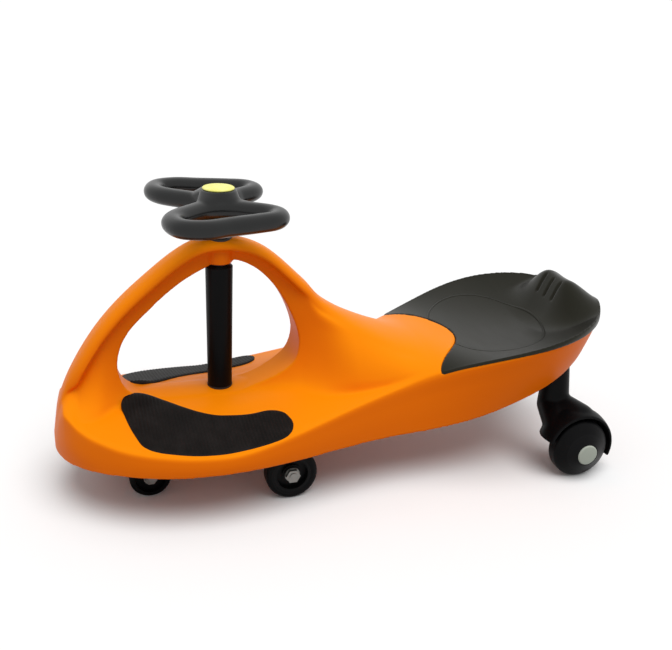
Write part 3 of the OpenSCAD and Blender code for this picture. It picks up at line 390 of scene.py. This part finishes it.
def join(piece, how, *tools):
    """Adds the tools to a piece or cuts them from it, and removes them."""
    for tool in tools:
        step = piece.modifiers.new(how, "BOOLEAN")
        step.operation = how
        step.solver = "MANIFOLD"
        step.object = tool
        settle(piece)
        old = tool.data
        bpy.data.objects.remove(tool)
        bpy.data.meshes.remove(old)


def soften(piece, grain, rounds):
    """Even faces of one size, with edges and joins rounded as in a mould."""
    step = piece.modifiers.new("even", "REMESH")
    step.mode = "VOXEL"
    step.voxel_size = grain / 1000
    step = piece.modifiers.new("round", "SMOOTH")
    step.factor = 0.5
    step.iterations = rounds
    settle(piece)
    smooth(piece)


def smooth(piece):
    piece.data.polygons.foreach_set("use_smooth", np.ones(len(piece.data.polygons), bool))


# Body shell

def body_stations():
    turn = math.asin((WINDOW_FRONT - 5 - WIDEST) / (NOSE - WIDEST))
    nose = WIDEST + (NOSE - WIDEST) * np.sin(np.linspace(math.radians(88), turn, 40))
    deck = np.linspace(WINDOW_FRONT - 5, -WINDOW_BACK, 70)[1:]
    hump = np.linspace(-WINDOW_BACK, -HORN, 50)[1:]
    hull = np.linspace(-HORN, -SEAT_X, 36)[1:]
    tail = -SEAT_X - (TAIL - SHELL_IN - SEAT_X) * np.sin(np.radians(np.linspace(0, 88, 36)[1:]))
    return np.concatenate([nose, deck, hump, hull, tail])


def body_block():
    rings = []
    for x in body_stations():
        top = seat_h(x, 0) if x <= -HORN else ridge_z(x)
        rings.append(ring_at(x, body_half(x), top, 4))
    return loft("body", rings)


def window_tool():
    top = ARCH_Z - ARCH_DEPTH
    outline = through([
        (WINDOW_FRONT, WINDOW_CORNER), (WINDOW_FRONT - 9, 208), (88, 248), (38, 286.5), (-12, top - 1),
        (-44, top - 12.5), (-75, 261.5), (-WINDOW_BACK + 6, 214), (-WINDOW_BACK + 2, 190),
        (-WINDOW_BACK + 9, 165), (-WINDOW_BACK + 42, WINDOW_LOW), (0, DECK_Z - 6), (80, DECK_Z - 4),
        (WINDOW_FRONT - 12, WINDOW_LOW)], 10, True)
    rings = [np.column_stack([outline[:, 0], np.full(len(outline), y), outline[:, 1]])
             for y in (-DECK_HALF, DECK_HALF)]
    tool = loft("window", rings)
    below = []
    for x in np.linspace(WINDOW_FRONT + 10, -WINDOW_BACK - 10, 50):
        y = float(crease_y(x)) + 5
        half = [(y, 0)] + [(y * k, float(deck_h(x, y * k))) for k in np.linspace(1, 0.04, 16)]
        below.append(ring_at(x, half, float(deck_h(x, 0))))
    join(tool, "DIFFERENCE", loft("below", below))
    return tool


def inner_top(x, y):
    if x < -HORN:
        return seat_h(x, y) - lip_h(x, y) - SEAT_T - 3.5 - WALL
    return deck_h(x, y) - WALL


def cavity_tool():
    rings = []
    for x in np.linspace(NOSE - 26, -TAIL + 24, 60):
        ey = float(min(edge_y(x), crease_y(x))) - WALL - 1
        ry = min(float(rim_y(x)) - WALL, ey)
        low = float(low_z(x))
        if x < -WAIST:
            up = (float(inner_top(x, ey)) - low) / (float(crease_h(x)) - low)
            ey = min(ey, lerp(float(rim_y(x)), float(edge_y(x)), up) - WALL)
        half = [(ry, low - 20), (ry, low + 2)]
        for y in ey * (1 - np.arange(11) / 11):
            half.append((y, max(float(inner_top(x, y)), low + 4)))
        rings.append(ring_at(x, half, max(float(inner_top(x, 0)), low + 4)))
    return loft("cavity", rings)


def hump_tool():
    rings = []
    for x in np.linspace(-WINDOW_BACK - 18, -HORN + 30, 12):
        z = float(ridge_z(x)) - 12
        y = float(foot_y(x)) * 0.45
        deck = float(deck_h(x, 0))
        rings.append(ring_at(x, [(y, deck - 25), (y, deck - WALL - 6), (float(web_y(x)) * 0.45, z - 6)], z))
    return loft("hump", rings)


def seat_solid(name, low, high, side, front, rows=70, cols=80, middle=0.0):
    """The seat's plan, between two heights above its surface, and deeper by middle away from its rim."""
    rings = []
    v = np.linspace(-1, 1, cols + 1)
    for i in range(rows + 1):
        start = -HORN - TONGUE * np.cos(np.pi / 2 * np.abs(v)) ** 1.5 + front
        x = lerp(start, -TAIL + 1, math.sin(math.pi / 2 * i / rows))
        y = v * edge_y(x)
        top = np.column_stack([x, y + np.sign(v) * side * np.abs(v) ** 8, seat_h(x, y)])
        deep = low - middle * (1 - v ** 4) * (1 + 1.5 * lip_h(x, y) / LIP)
        below = top + np.column_stack([0 * v, 0 * v, deep])
        rings.append(np.concatenate([(top + [0, 0, high])[::-1], below]))
    m, n = len(rings), len(rings[0])
    faces = [(i * n + j, i * n + (j + 1) % n, (i + 1) * n + (j + 1) % n, (i + 1) * n + j)
             for i in range(m - 1) for j in range(n)]
    for i, flip in ((0, False), (m - 1, True)):
        for j in range(cols):
            face = (i * n + j, i * n + j + 1, i * n + n - 2 - j, i * n + n - 1 - j)
            faces.append(face if flip else face[::-1])
    return make(name, np.concatenate(rings), faces)


def rod(name, x, y, low, high, d, sides=48):
    return turned(name, [(d / 2, low), (d / 2, high)], sides, (x, y, 0), (0, 0, 1))


POST = (-TAIL + 81, 76.0)
SEAT_SCREWS = [(-345, 72), (-345, -72), (-425, 98), (-425, -98), (-425, 0)]
SEAT_DEEP = 5.0


def build_body():
    body = body_block()
    join(body, "DIFFERENCE", window_tool(), cavity_tool(), hump_tool())
    inside = body_block()
    bosses = [rod("boss", 0, 0, 91.3, DECK_Z - 2, BUSH_D + 13)]
    for k in range(8):
        a = math.radians(45 * k + 22.5)
        ends = [disc((r * math.cos(a), r * math.sin(a), z), 1.5, 12)
                for r in (18, 92) for z in (97, float(deck_h(0, 92)))]
        bosses.append(wrap("rib", *ends))
    bosses += [rod("boss", POST[0], s * POST[1], FLANGE_TOP, 191, FLANGE_D) for s in (1, -1)]
    for x, y in SEAT_SCREWS:
        z = float(seat_h(x, y)) - SEAT_T
        bosses.append(rod("boss", x, y, z - 16, z, 12))
    group = bosses.pop(0)
    join(group, "UNION", *bosses)
    join(group, "INTERSECT", inside)
    arch_low = ARCH_Z - ARCH_DEPTH
    join(body, "UNION", group, rod("boss", 0, 0, arch_low - 4.7, ARCH_Z - 4, BUSH_D + 9))
    join(body, "DIFFERENCE",
         seat_solid("recess", -2.8, 60, 4, 0.4, middle=SEAT_DEEP),
         rod("hole", 0, 0, arch_low - 12, ARCH_Z + 40, BUSH_D),
         rod("hole", 0, 0, DECK_Z - 1.5, DECK_Z + 12, BUSH_D + 9),
         rod("hole", 0, 0, 0, DECK_Z + 20, BUSH_D))
    soften(body, 1.5, 5)
    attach(body, "chassis")
    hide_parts("body_shell")
    return body


# Seat

RIM_HALF = 1.8
RIM_IN = 1.5
SLOT_GAP = 20.0
SLOT_R = 2.6


def seat_rim():
    """The rolled edge that hangs over the shell, from one horn round the tail to the other."""
    turn = np.linspace(0, 2 * math.pi, 20, endpoint=False)
    path = [(x, float(edge_y(x)) - 0.4) for x in np.linspace(-HORN - 3, -SEAT_X, 40)[:-1]]
    path += [(-SEAT_X - (TAIL - RIM_IN - SEAT_X) * math.sin(a), (SEAT_HALF - 0.4) * math.cos(a))
             for a in np.radians(np.linspace(0, 90, 60))]
    path += [(x, -y) for x, y in path[-2::-1]]
    path = np.array(path)
    ahead = np.gradient(path, axis=0)
    ahead /= np.linalg.norm(ahead, axis=1)[:, None]
    rings = []
    for (x, y), d in zip(path, ahead):
        tall = lerp(2.5, 6.0, float(ease((-340 - x) / 180)))
        z = float(crease_h(x) + lip_h(x, y)) + 0.5 - tall
        w, h = RIM_HALF * np.cos(turn), tall * np.sin(turn)
        rings.append(np.column_stack([x + d[1] * w, y - d[0] * w, z + h]))
    return loft("rim", rings)


def build_seat():
    seat = seat_solid("seat_shell", -3.0, 0, -0.6, -0.4, 110, 120, SEAT_DEEP)
    join(seat, "UNION", seat_rim())
    slots = []
    for k in (-1, 0, 1):
        y = SLOT_GAP * k
        ends = [ball((x, y, float(seat_h(x, y)) + 0.5), SLOT_R) for x in (-479, -485, -491)]
        slots += [wrap("slot", ends[0], ends[1]), wrap("slot", ends[1], ends[2])]
    join(seat, "DIFFERENCE", *slots)
    soften(seat, 1.5, 3)
    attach(seat, "chassis")
    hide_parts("seat")
    return seat


# Foot pads

PAD_BACK = -72.0
PAD_RISE = 5.0
PAD_FRONT = 133.0
PAD_IN = [[PAD_BACK, 101], [-68, 88], [-62, 80], [-54, 75], [-45, 72.5], [-25, 72], [0, 68], [20, 64],
          [40, 55], [60, 42], [80, 27], [90, 21.5], [101, 18.5], [113, 16], [121, 17], [126, 20.5],
          [130.5, 27], [PAD_FRONT, 35]]
PAD_OUT = [[PAD_BACK, 108], [-70, 114.5], [-66, 121], [-58, 126.5], [-45, 129.3], [-20, 131], [0, 131.5],
           [30, 132.5], [60, 129.5], [90, 121.5], [104, 115], [112, 108.5], [117, 101.5], [121.5, 88.5],
           [125.5, 75], [129, 59.5], [131.8, 43], [PAD_FRONT, 38]]


def build_pad(side, name, node):
    """A kidney-shaped mat with fine ribs across it, round at its edge and higher near the arch's foot."""
    rows, cols = 264, 26
    x = np.linspace(PAD_FRONT, PAD_BACK, rows + 1)
    inner, outer = curve(PAD_IN, x), curve(PAD_OUT, x)
    v = np.linspace(0, 1, cols + 1)
    y = lerp(inner[:, None], outer[:, None], v[None, :])
    xx = np.repeat(x[:, None], cols + 1, axis=1)
    lean_in, lean_out = (np.hypot(1, np.gradient(e, x))[:, None] for e in (inner, outer))
    rim = np.minimum((y - inner[:, None]) / lean_in, (outer[:, None] - y) / lean_out)
    rim = np.minimum(rim, np.minimum(PAD_FRONT - xx, xx - PAD_BACK))
    round_off = np.sqrt(np.clip(1 - (1 - np.clip(rim / 2.2, 0, 1)) ** 2, 0, 1))
    ribs = np.clip(0.5 + 0.9 * np.cos(2 * np.pi * xx / 4.5), 0, 1) * np.clip((rim - 2.5) / 2, 0, 1)
    z = deck_h(xx, y)
    sill = curve([[60, DECK_Z - 4], [80, DECK_Z - 4], [WINDOW_FRONT - 12, WINDOW_LOW],
                  [WINDOW_FRONT, WINDOW_CORNER]], x)
    rise = PAD_RISE * ease((xx - 80) / 28) * ease(1 - (y - inner[:, None]) / 30)
    for i in range(rows + 1):
        side_line = arch_half(x[i])[4:][::-1]
        foot = np.minimum(np.interp(y[i], side_line[:, 0], side_line[:, 1]), sill[i])
        rise[i] = np.maximum(rise[i], np.clip(foot - z[i] + 0.4, 0, PAD_RISE))
    top = np.stack([xx, side * y, z + rise + 0.3 + 1.3 * round_off + 0.8 * ribs], -1).reshape(-1, 3)
    foot = np.stack([xx, side * y, z - 0.8], -1).reshape(-1, 3)
    n = cols + 1
    half = len(top)
    faces = []
    for i in range(rows):
        for j in range(cols):
            a = i * n + j
            faces.append((a, a + 1, a + n + 1, a + n))
            faces.append((half + a, half + a + n, half + a + n + 1, half + a + 1))
    border = [j for j in range(n)] + [i * n + cols for i in range(1, rows + 1)]
    border += [rows * n + j for j in range(cols - 1, -1, -1)] + [i * n for i in range(rows - 1, 0, -1)]
    for a, b in zip(border, border[1:] + border[:1]):
        faces.append((a, half + a, half + b, b))
    pad = make(name, np.concatenate([top, foot]), faces)
    smooth(pad)
    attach(pad, "chassis")
    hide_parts(node)
    return pad


# Steering wheel

GRIP_Z = 375.0
GRIP_R = 13.6
GRIP_TALL = 11.4
GRIP_AHEAD = 4.5
GRIP_L = 63.5
HUB_TOP = GRIP_Z + 20.5
NECK_LOW = ARCH_Z - 2.3 + 2.5 + 0.3
SHAFT_BORE = 20.2
SCREW_BORE = 12.0
GRIP_PLAN = [(0.05, 101), (0.5, 109), (0.88, 101), (1, 76), (0.9, 58), (0.62, 40), (0.3, 26), (0, 22),
             (-0.3, 26), (-0.62, 38), (-0.9, 52), (-1, 66), (-0.88, 83), (-0.5, 92)]


def grip_loop(side):
    path = through([(GRIP_AHEAD + a * GRIP_L, side * b) for a, b in GRIP_PLAN], 8, True)
    m = len(path)
    turn = np.linspace(0, 2 * math.pi, 28, endpoint=False)
    rings = []
    for i in range(m):
        d = path[(i + 1) % m] - path[i - 1]
        n = np.array([d[1], -d[0]]) / np.linalg.norm(d)
        out = GRIP_R * np.cos(turn)
        rings.append(np.column_stack([path[i][0] + out * n[0], path[i][1] + out * n[1],
                                      GRIP_Z + GRIP_TALL * np.sin(turn)]))
    return loft("loop", rings, True)


def build_steering_wheel():
    wheel = grip_loop(1)
    parts = [grip_loop(-1)]
    for a in (-1, 1):
        for b in (-1, 1):
            arm = ball((GRIP_AHEAD + a * 0.3 * GRIP_L, b * 26, GRIP_Z), GRIP_TALL)
            parts.append(wrap("arm", arm, disc((0, 0, GRIP_Z - 16), 15), disc((0, 0, HUB_TOP), 22)))
            ends = [ball((GRIP_AHEAD + a * 0.62 * GRIP_L, b * 39, GRIP_Z), GRIP_TALL),
                    ball((a * 0.2 * GRIP_L, b * 10, GRIP_Z), GRIP_TALL)]
            parts.append(wrap("arm", *ends))
    neck = [(12.5, NECK_LOW), (13, NECK_LOW + 6), (21, GRIP_Z - 14), (23, HUB_TOP)]
    parts.append(turned("neck", neck, 64, (0, 0, 0), (0, 0, 1)))
    join(wheel, "UNION", *parts)
    join(wheel, "DIFFERENCE", rod("bore", 0, 0, NECK_LOW - 1, GRIP_Z + 8.5, SHAFT_BORE),
         rod("bore", 0, 0, HUB_TOP - 5, HUB_TOP + 20, SCREW_BORE))
    soften(wheel, 1.6, 14)
    wheel.name = "steering_loops"
    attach(wheel, "steering")
    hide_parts("steering_wheel")
    return wheel


# Rear arms

REAR = (-481.0, 41.5)
HOOD_R = 51.5
HOOD_BACK = 78.0
HOOD_END = 142.0
ROOM_R = 46.5
ROOM_IN = 116.0
POST_R = 17.0


def build_arm(side, name, node):
    """A post that swells into a hood over the wheel."""
    rx, rz = REAR
    px, py = POST
    profile = [(0, 0), (0.26, 1), (0.52, 6), (0.7, 12), (0.84, 19), (0.98, 29), (1.04, 39), (1.03, 51)]
    line = [(r * HOOD_R, h) for r, h in profile] + [(HOOD_R - 1.5, HOOD_END - HOOD_BACK)]
    line = through(line, 5)
    origin = (rx, side * HOOD_BACK, rz)
    arm = turned("hood", line, 96, origin, (0, side, 0))
    shoulder = ball((px, side * (py + 4), rz + 43), 22.5)
    ends = [disc((px, side * py, z), POST_R) for z in (FLANGE_LOW, FLANGE_LOW + 1)]
    post = wrap("post", *ends, shoulder)
    back = wrap("back", shoulder, ball((rx - 4, side * ROOM_IN, rz + HOOD_R / 2 + 4), HOOD_R / 2 + 2))
    ahead = ball((rx + HOOD_R / 2, side * ROOM_IN, rz + HOOD_R / 2), HOOD_R / 3 + 2)
    front = wrap("front", shoulder, ahead)
    join(arm, "UNION", post, back, front)
    a = math.radians(18)
    across = np.array([math.cos(a), 0, math.sin(a)])
    down = np.array([math.sin(a), 0, -math.cos(a)])
    corners = ((-200, 2), (200, 2), (200, 200), (-200, 200))
    corner = [np.array([rx, 0, rz]) + across * u + down * w for u, w in corners]
    half_space = [np.array(corner) + [0, y, 0] for y in (-250.0, 250.0)]
    room = turned("room", [(ROOM_R, 0), (ROOM_R, 158)], 96, (rx, side * ROOM_IN, rz), (0, side, 0))
    join(arm, "DIFFERENCE", loft("under", half_space), room)
    boss = turned("boss", [(14, 0), (14, 36)], 48, (rx, side * 84, rz), (0, side, 0))
    plate = rod("flange", px, side * py, FLANGE_LOW, FLANGE_TOP, FLANGE_D)
    flat = np.radians(side * 113)
    face = np.array([np.cos(flat), np.sin(flat), 0])
    edge = np.array([-np.sin(flat), np.cos(flat), 0])
    corners = ((19.5, -60), (60, -60), (60, 60), (19.5, 60))
    corner = [np.array([px, side * py, 0]) + face * u + edge * w for u, w in corners]
    join(plate, "DIFFERENCE", loft("flat", [np.array(corner) + [0, 0, z] for z in (150.0, 170.0)]))
    join(arm, "UNION", boss, plate)
    join(arm, "DIFFERENCE", turned("bore", [(5, 0), (5, 60)], 40, (rx, side * 77, rz), (0, side, 0)))
    soften(arm, 1.6, 8)
    arm.name = name
    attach(arm, "chassis")
    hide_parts(node)
    return arm


# Shader maths

class Value:
    """A socket in a set of nodes, which takes part in Python expressions."""

    def __init__(self, nodes, socket):
        self.nodes = nodes
        self.socket = socket

    def math(self, operation, *others):
        inputs = {i: v for i, v in enumerate((self,) + others)}
        return self.nodes.node("ShaderNodeMath", {"operation": operation}, inputs)

    def __add__(self, other):
        return self.math("ADD", other)

    def __sub__(self, other):
        return self.math("SUBTRACT", other)

    def __rsub__(self, other):
        return self.nodes.node("ShaderNodeMath", {"operation": "SUBTRACT"}, {0: other, 1: self})

    def __mul__(self, other):
        return self.math("MULTIPLY", other)

    def __truediv__(self, other):
        return self.math("DIVIDE", other)

    def __rtruediv__(self, other):
        return self.nodes.node("ShaderNodeMath", {"operation": "DIVIDE"}, {0: other, 1: self})

    def __pow__(self, other):
        return self.math("POWER", other)

    __radd__ = __add__
    __rmul__ = __mul__

    def clamp(self, low=0.0, high=1.0):
        return self.math("MAXIMUM", low).math("MINIMUM", high)

    def step(self, low, high):
        """0 below low, 1 above high and smooth between."""
        settings = {"interpolation_type": "SMOOTHSTEP"}
        inputs = {"Value": self, "From Min": low, "From Max": high}
        return self.nodes.node("ShaderNodeMapRange", settings, inputs)


class Nodes:
    """The nodes of a material or of the world."""

    def __init__(self, tree):
        self.tree = tree

    def plug(self, socket, value):
        if isinstance(value, Value):
            self.tree.links.new(value.socket, socket)
        else:
            socket.default_value = value

    def node(self, kind, settings=None, inputs=None, out=0):
        made = self.tree.nodes.new(kind)
        for name, value in (settings or {}).items():
            setattr(made, name, value)
        for name, value in (inputs or {}).items():
            self.plug(made.inputs[name], value)
        return Value(self, made.outputs[out])


class Finish(Nodes):
    """A material with one principled shader."""

    def __init__(self, name, **sockets):
        self.material = bpy.data.materials.new(name)
        self.material.use_nodes = True
        super().__init__(self.material.node_tree)
        self.shader = self.tree.nodes["Principled BSDF"]
        self.set(**sockets)

    def set(self, **sockets):
        for name, value in sockets.items():
            self.plug(self.shader.inputs[name.replace("_", " ")], value)

    def place(self):
        return self.node("ShaderNodeTexCoord", out="Object")

    def axes(self):
        split = self.node("ShaderNodeSeparateXYZ", None, {0: self.place()})
        return [Value(self, s) for s in split.socket.node.outputs]

    def noise(self, scale, detail=3.0, rough=0.5, vector=None):
        inputs = {"Vector": vector or self.place(), "Scale": scale, "Detail": detail, "Roughness": rough}
        return self.node("ShaderNodeTexNoise", None, inputs)

    def stretched(self, x, y, z):
        return self.node("ShaderNodeMapping", None, {"Vector": self.place(), "Scale": (x, y, z)})

    def mix(self, factor, a, b):
        return self.node("ShaderNodeMix", {"data_type": "RGBA"}, {0: factor, 6: a, 7: b}, 2)

    def bump(self, height, depth, strength=1.0):
        """Relief of a height from 0 to 1, over a depth in millimetres."""
        inputs = {"Height": height, "Distance": depth / 1000, "Strength": strength}
        self.set(Normal=self.node("ShaderNodeBump", None, inputs))

    def edges(self):
        """1 on worn outer edges and 0 elsewhere."""
        point = self.node("ShaderNodeNewGeometry", out="Pointiness")
        return point.step(0.53, 0.62)


def tone(r, g, b):
    """A colour written as it shows on a screen, from 0 to 255."""
    def light(c):
        c = c / 255
        return c / 12.92 if c <= 0.04045 else ((c + 0.055) / 1.055) ** 2.4
    return (light(r), light(g), light(b), 1.0)


def moulded(name, low, high, rough, grain_scale, grain_depth, edge, shine=0.3):
    """Moulded plastic: flow marks in its colour, fine grain, scuffs and paler edges."""
    f = Finish(name, IOR=1.5, Specular_IOR_Level=shine)
    flow = f.noise(9.0, 4.0, 0.6)
    speck = f.noise(900.0, 1.0)
    scuff = f.noise(70.0, 6.0, 0.7, f.stretched(1.0, 3.0, 1.0)).step(0.6, 0.78)
    colour = f.mix((flow * 0.8 + speck * 0.2).step(0.3, 0.7), low, high)
    f.set(Base_Color=f.mix(f.edges() * 0.5, colour, edge))
    f.set(Roughness=(flow * 0.1 + scuff * 0.12 + (rough - 0.06)).clamp())
    f.bump(f.noise(grain_scale, 2.0), grain_depth, 0.6)
    return f.material


def orange_plastic():
    """Satin orange with painted light and shade: paler and yellower where it faces up as if lit, deeper and
    redder where it faces sideways or down as if in shade; with flow marks, scuffs and paler edges.
    """
    f = Finish("body_orange_plastic", IOR=1.5, Specular_IOR_Level=0.07)
    flow = f.noise(6.0, 4.0, 0.6)
    speck = f.noise(1200.0, 1.0)
    scuff = f.noise(60.0, 6.0, 0.7, f.stretched(0.6, 2.5, 1.0)).step(0.62, 0.8)
    normal = f.node("ShaderNodeNewGeometry", out="Normal")
    up = f.node("ShaderNodeSeparateXYZ", None, {0: normal}, "Z")
    # painted light and shade: share grows as the surface turns up, so tone(251, 141, 5) is the painted lit
    # orange on top and tone(247, 113, 2) the painted shaded orange on the sides and underneath
    share = up.step(-0.2, 0.95) * 0.9 + flow * 0.07 + speck * 0.03
    colour = f.mix(share.clamp(), tone(247, 113, 2), tone(251, 141, 5))
    f.set(Base_Color=f.mix(f.edges() * 0.25, colour, tone(253, 156, 34)))
    f.set(Roughness=(flow * 0.08 + scuff * 0.14 + 0.36).clamp())
    f.bump(f.noise(1500.0, 2.0), 0.03, 0.4)
    return f.material


OVAL_BACK = 387.0
OVAL_LONG = 76.0
OVAL_WIDE = 104.0


def seat_plastic():
    """Dark grey, with a raised line round the dish and fine brushed flow marks."""
    f = Finish("seat_grey_plastic", IOR=1.5, Specular_IOR_Level=0.23)
    f.set(Specular_Tint=(0.96, 0.95, 0.72, 1))
    x, y = f.axes()[:2]
    flow = f.noise(14.0, 4.0, 0.6, f.stretched(1.0, 0.4, 1.0))
    streak = f.noise(55.0, 4.0, 0.65, f.stretched(1.0, 0.12, 1.0))
    scuff = f.noise(90.0, 6.0, 0.7).step(0.6, 0.8)
    colour = f.mix((flow * 0.6 + streak * 0.4).step(0.3, 0.7), tone(15, 15, 12), tone(24, 23, 19))
    f.set(Base_Color=f.mix(f.edges() * 0.3, colour, tone(34, 34, 31)))
    f.set(Roughness=(streak * 0.12 + scuff * 0.1 + 0.3).clamp())
    along = (x - (COLUMN - OVAL_BACK) / 1000) / (OVAL_LONG / 1000)
    across = y / (OVAL_WIDE / 1000)
    ring = (along * along + across * across) ** 0.5
    line = 1 - ((ring - 1.0).math("ABSOLUTE")).step(0.004, 0.02)
    f.bump(line * 0.9 + f.noise(1000.0, 2.0) * 0.05, 1.2, 0.9)
    return f.material


def pad_rubber():
    """Matte black rubber with dust in patches and paler ribs."""
    f = Finish("foot_pad_rubber", IOR=1.5, Specular_IOR_Level=0.1)
    dust = f.noise(40.0, 5.0, 0.65)
    speck = f.noise(1100.0, 2.0)
    colour = f.mix(dust.step(0.35, 0.7), tone(18, 16, 15), tone(29, 26, 25))
    f.set(Base_Color=f.mix(f.edges() * 0.6, colour, tone(48, 45, 43)))
    f.set(Roughness=(dust * 0.2 + 0.5).clamp())
    f.bump(speck, 0.12, 0.7)
    return f.material


def steel():
    """Dull plated steel with stains."""
    f = Finish("zinc_plated_steel", Metallic=1.0)
    grain = f.noise(160.0, 4.0, 0.6)
    stain = f.noise(30.0, 4.0, 0.6).step(0.5, 0.75)
    f.set(Base_Color=f.mix(stain, tone(128, 127, 124), tone(88, 86, 81)))
    f.set(Roughness=(grain * 0.2 + stain * 0.15 + 0.2).clamp())
    f.bump(grain, 0.05, 0.5)
    return f.material


def tyre_rubber():
    """Black wheel with a fine moulded grain and dust on the tread."""
    f = Finish("wheel_black_polyurethane", IOR=1.5, Specular_IOR_Level=0.07)
    dust = f.noise(55.0, 5.0, 0.65).step(0.5, 0.8)
    flow = f.noise(18.0, 3.0)
    colour = f.mix(flow.step(0.35, 0.65), tone(8, 8, 9), tone(13, 13, 14))
    f.set(Base_Color=f.mix(dust * 0.25, colour, tone(34, 33, 32)))
    f.set(Roughness=(dust * 0.25 + flow * 0.1 + 0.3).clamp())
    f.bump(f.noise(800.0, 2.0), 0.06, 0.5)
    return f.material


def plain_cap():
    """Pale yellow cap with a fine turned grain."""
    f = Finish("steering_cap_yellow", IOR=1.5)
    x, y = f.axes()[:2]
    reach = ((x - COLUMN / 1000) ** 2 + y ** 2) ** 0.5
    rings = (reach * 9000).math("SINE") * 0.5 + 0.5
    flow = f.noise(60.0, 3.0)
    f.set(Base_Color=f.mix(flow.step(0.3, 0.7), tone(243, 238, 122), tone(250, 246, 146)))
    f.set(Roughness=(flow * 0.15 + 0.34).clamp())
    f.bump(rings * 0.4 + flow * 0.6, 0.04, 0.5)
    return f.material


FINISHES = {
    "body_orange": orange_plastic(),
    "seat_grey": seat_plastic(),
    "pad_rubber": pad_rubber(),
    "nylon": moulded("black_nylon", tone(17, 17, 18), tone(26, 26, 27), 0.5, 700.0, 0.05,
                     tone(48, 48, 49)),
    "black_plastic": moulded("black_plastic", tone(6, 6, 7), tone(10, 10, 11), 0.38, 1100.0, 0.05,
                             tone(14, 14, 15), 0.07),
    "steel": steel(),
    "wheel_black": tyre_rubber(),
    "grip_black": moulded("steering_wheel_black_plastic", tone(10, 11, 11), tone(16, 17, 17), 0.3, 1100.0,
                          0.05, tone(34, 36, 36), 0.38),
    "hub_black": moulded("hub_black_plastic", tone(9, 9, 10), tone(15, 15, 16), 0.4, 900.0, 0.06,
                         tone(26, 26, 27), 0.08),
    "cap_yellow": plain_cap(),
    "hub_cap_pale": moulded("hub_cap_grey_plastic", tone(158, 165, 153), tone(174, 180, 168), 0.38, 800.0,
                            0.05, tone(196, 200, 190)),
}


def dress(piece, slot):
    piece.data.materials.clear()
    piece.data.materials.append(FINISHES[slot])


dress(build_body(), "body_orange")
dress(build_seat(), "seat_grey")
dress(build_pad(1, "foot_mat_left", "foot_pad_left"), "pad_rubber")
dress(build_pad(-1, "foot_mat_right", "foot_pad_right"), "pad_rubber")
dress(build_steering_wheel(), "grip_black")
dress(build_arm(1, "wheel_arm_left", "rear_arm_left"), "black_plastic")
dress(build_arm(-1, "wheel_arm_right", "rear_arm_right"), "black_plastic")

SLOT_OF = {
    "seat_screws": "steel",
    "rear_arm_screws": "steel",
    "steering_screw": "steel",
    "steering_shaft": "steel",
    "yoke_bolt": "steel",
    "yoke_nut": "steel",
    "upper_column_bush": "nylon",
    "lower_column_bush": "nylon",
    "steering_cap": "cap_yellow",
    "column_sleeve": "black_plastic",
    "front_yoke": "black_plastic",
}
for axle in ("front_axle", "guide_axle"):
    for part in ("", "_washers", "_nuts"):
        SLOT_OF[axle + part] = "steel"
for side in ("left", "right"):
    SLOT_OF["rear_axle_" + side] = "steel"
    SLOT_OF["guide_wheel_" + side] = "wheel_black"
    SLOT_OF["rear_hub_cap_" + side] = "hub_cap_pale"
    for wheel in ("front", "guide", "rear"):
        SLOT_OF[wheel + "_bushes_" + side] = "nylon"
    for wheel in ("front", "rear"):
        SLOT_OF[wheel + "_tyre_" + side] = "wheel_black"
        SLOT_OF[wheel + "_hub_" + side] = "hub_black"
for name, slot in SLOT_OF.items():
    dress(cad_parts[name], slot)


# Floor and light

FLOOR_HALF = 20000.0
WORLD_LIGHT = 0.48


def build_floor():
    h = FLOOR_HALF
    floor = make("floor", [(-h, -h, 0), (h, -h, 0), (h, h, 0), (-h, h, 0)], [(0, 1, 2, 3)])
    f = Finish("pale_floor", Specular_IOR_Level=0.0, Roughness=0.9)
    pale = f.mix(f.noise(3.0), (0.93, 0.93, 0.93, 1), (0.94, 0.94, 0.94, 1))
    seen = f.node("ShaderNodeLightPath", out="Is Camera Ray")
    for ray in ("Is Glossy Ray", "Is Transmission Ray"):
        seen = seen.math("MAXIMUM", f.node("ShaderNodeLightPath", out=ray))
    f.set(Base_Color=f.mix(seen, (0.4, 0.4, 0.4, 1), pale))
    floor.data.materials.append(f.material)


def build_world():
    """Soft light from all round, which the camera and the gloss see as plain white."""
    scene.world = bpy.data.worlds.new("studio")
    scene.world.use_nodes = True
    sky = Nodes(scene.world.node_tree)
    level = WORLD_LIGHT
    for ray in ("Is Camera Ray", "Is Glossy Ray", "Is Transmission Ray"):
        level = sky.node("ShaderNodeLightPath", out=ray).math("MAXIMUM", level)
    light = sky.tree.nodes["Background"]
    sky.plug(light.inputs["Color"], (1, 1, 1, 1))
    sky.plug(light.inputs["Strength"], level)


def sun(name, direction, spread, strength):
    data = bpy.data.lights.new(name, "SUN")
    data.angle = math.radians(spread)
    data.energy = strength
    light = bpy.data.objects.new(name, data)
    light.rotation_euler = Vector(direction).to_track_quat("-Z", "Y").to_euler()
    light.visible_glossy = False
    scene.collection.objects.link(light)


build_floor()
build_world()
sun("key_light", (0.08, -0.3, -1), 50, 2.1)
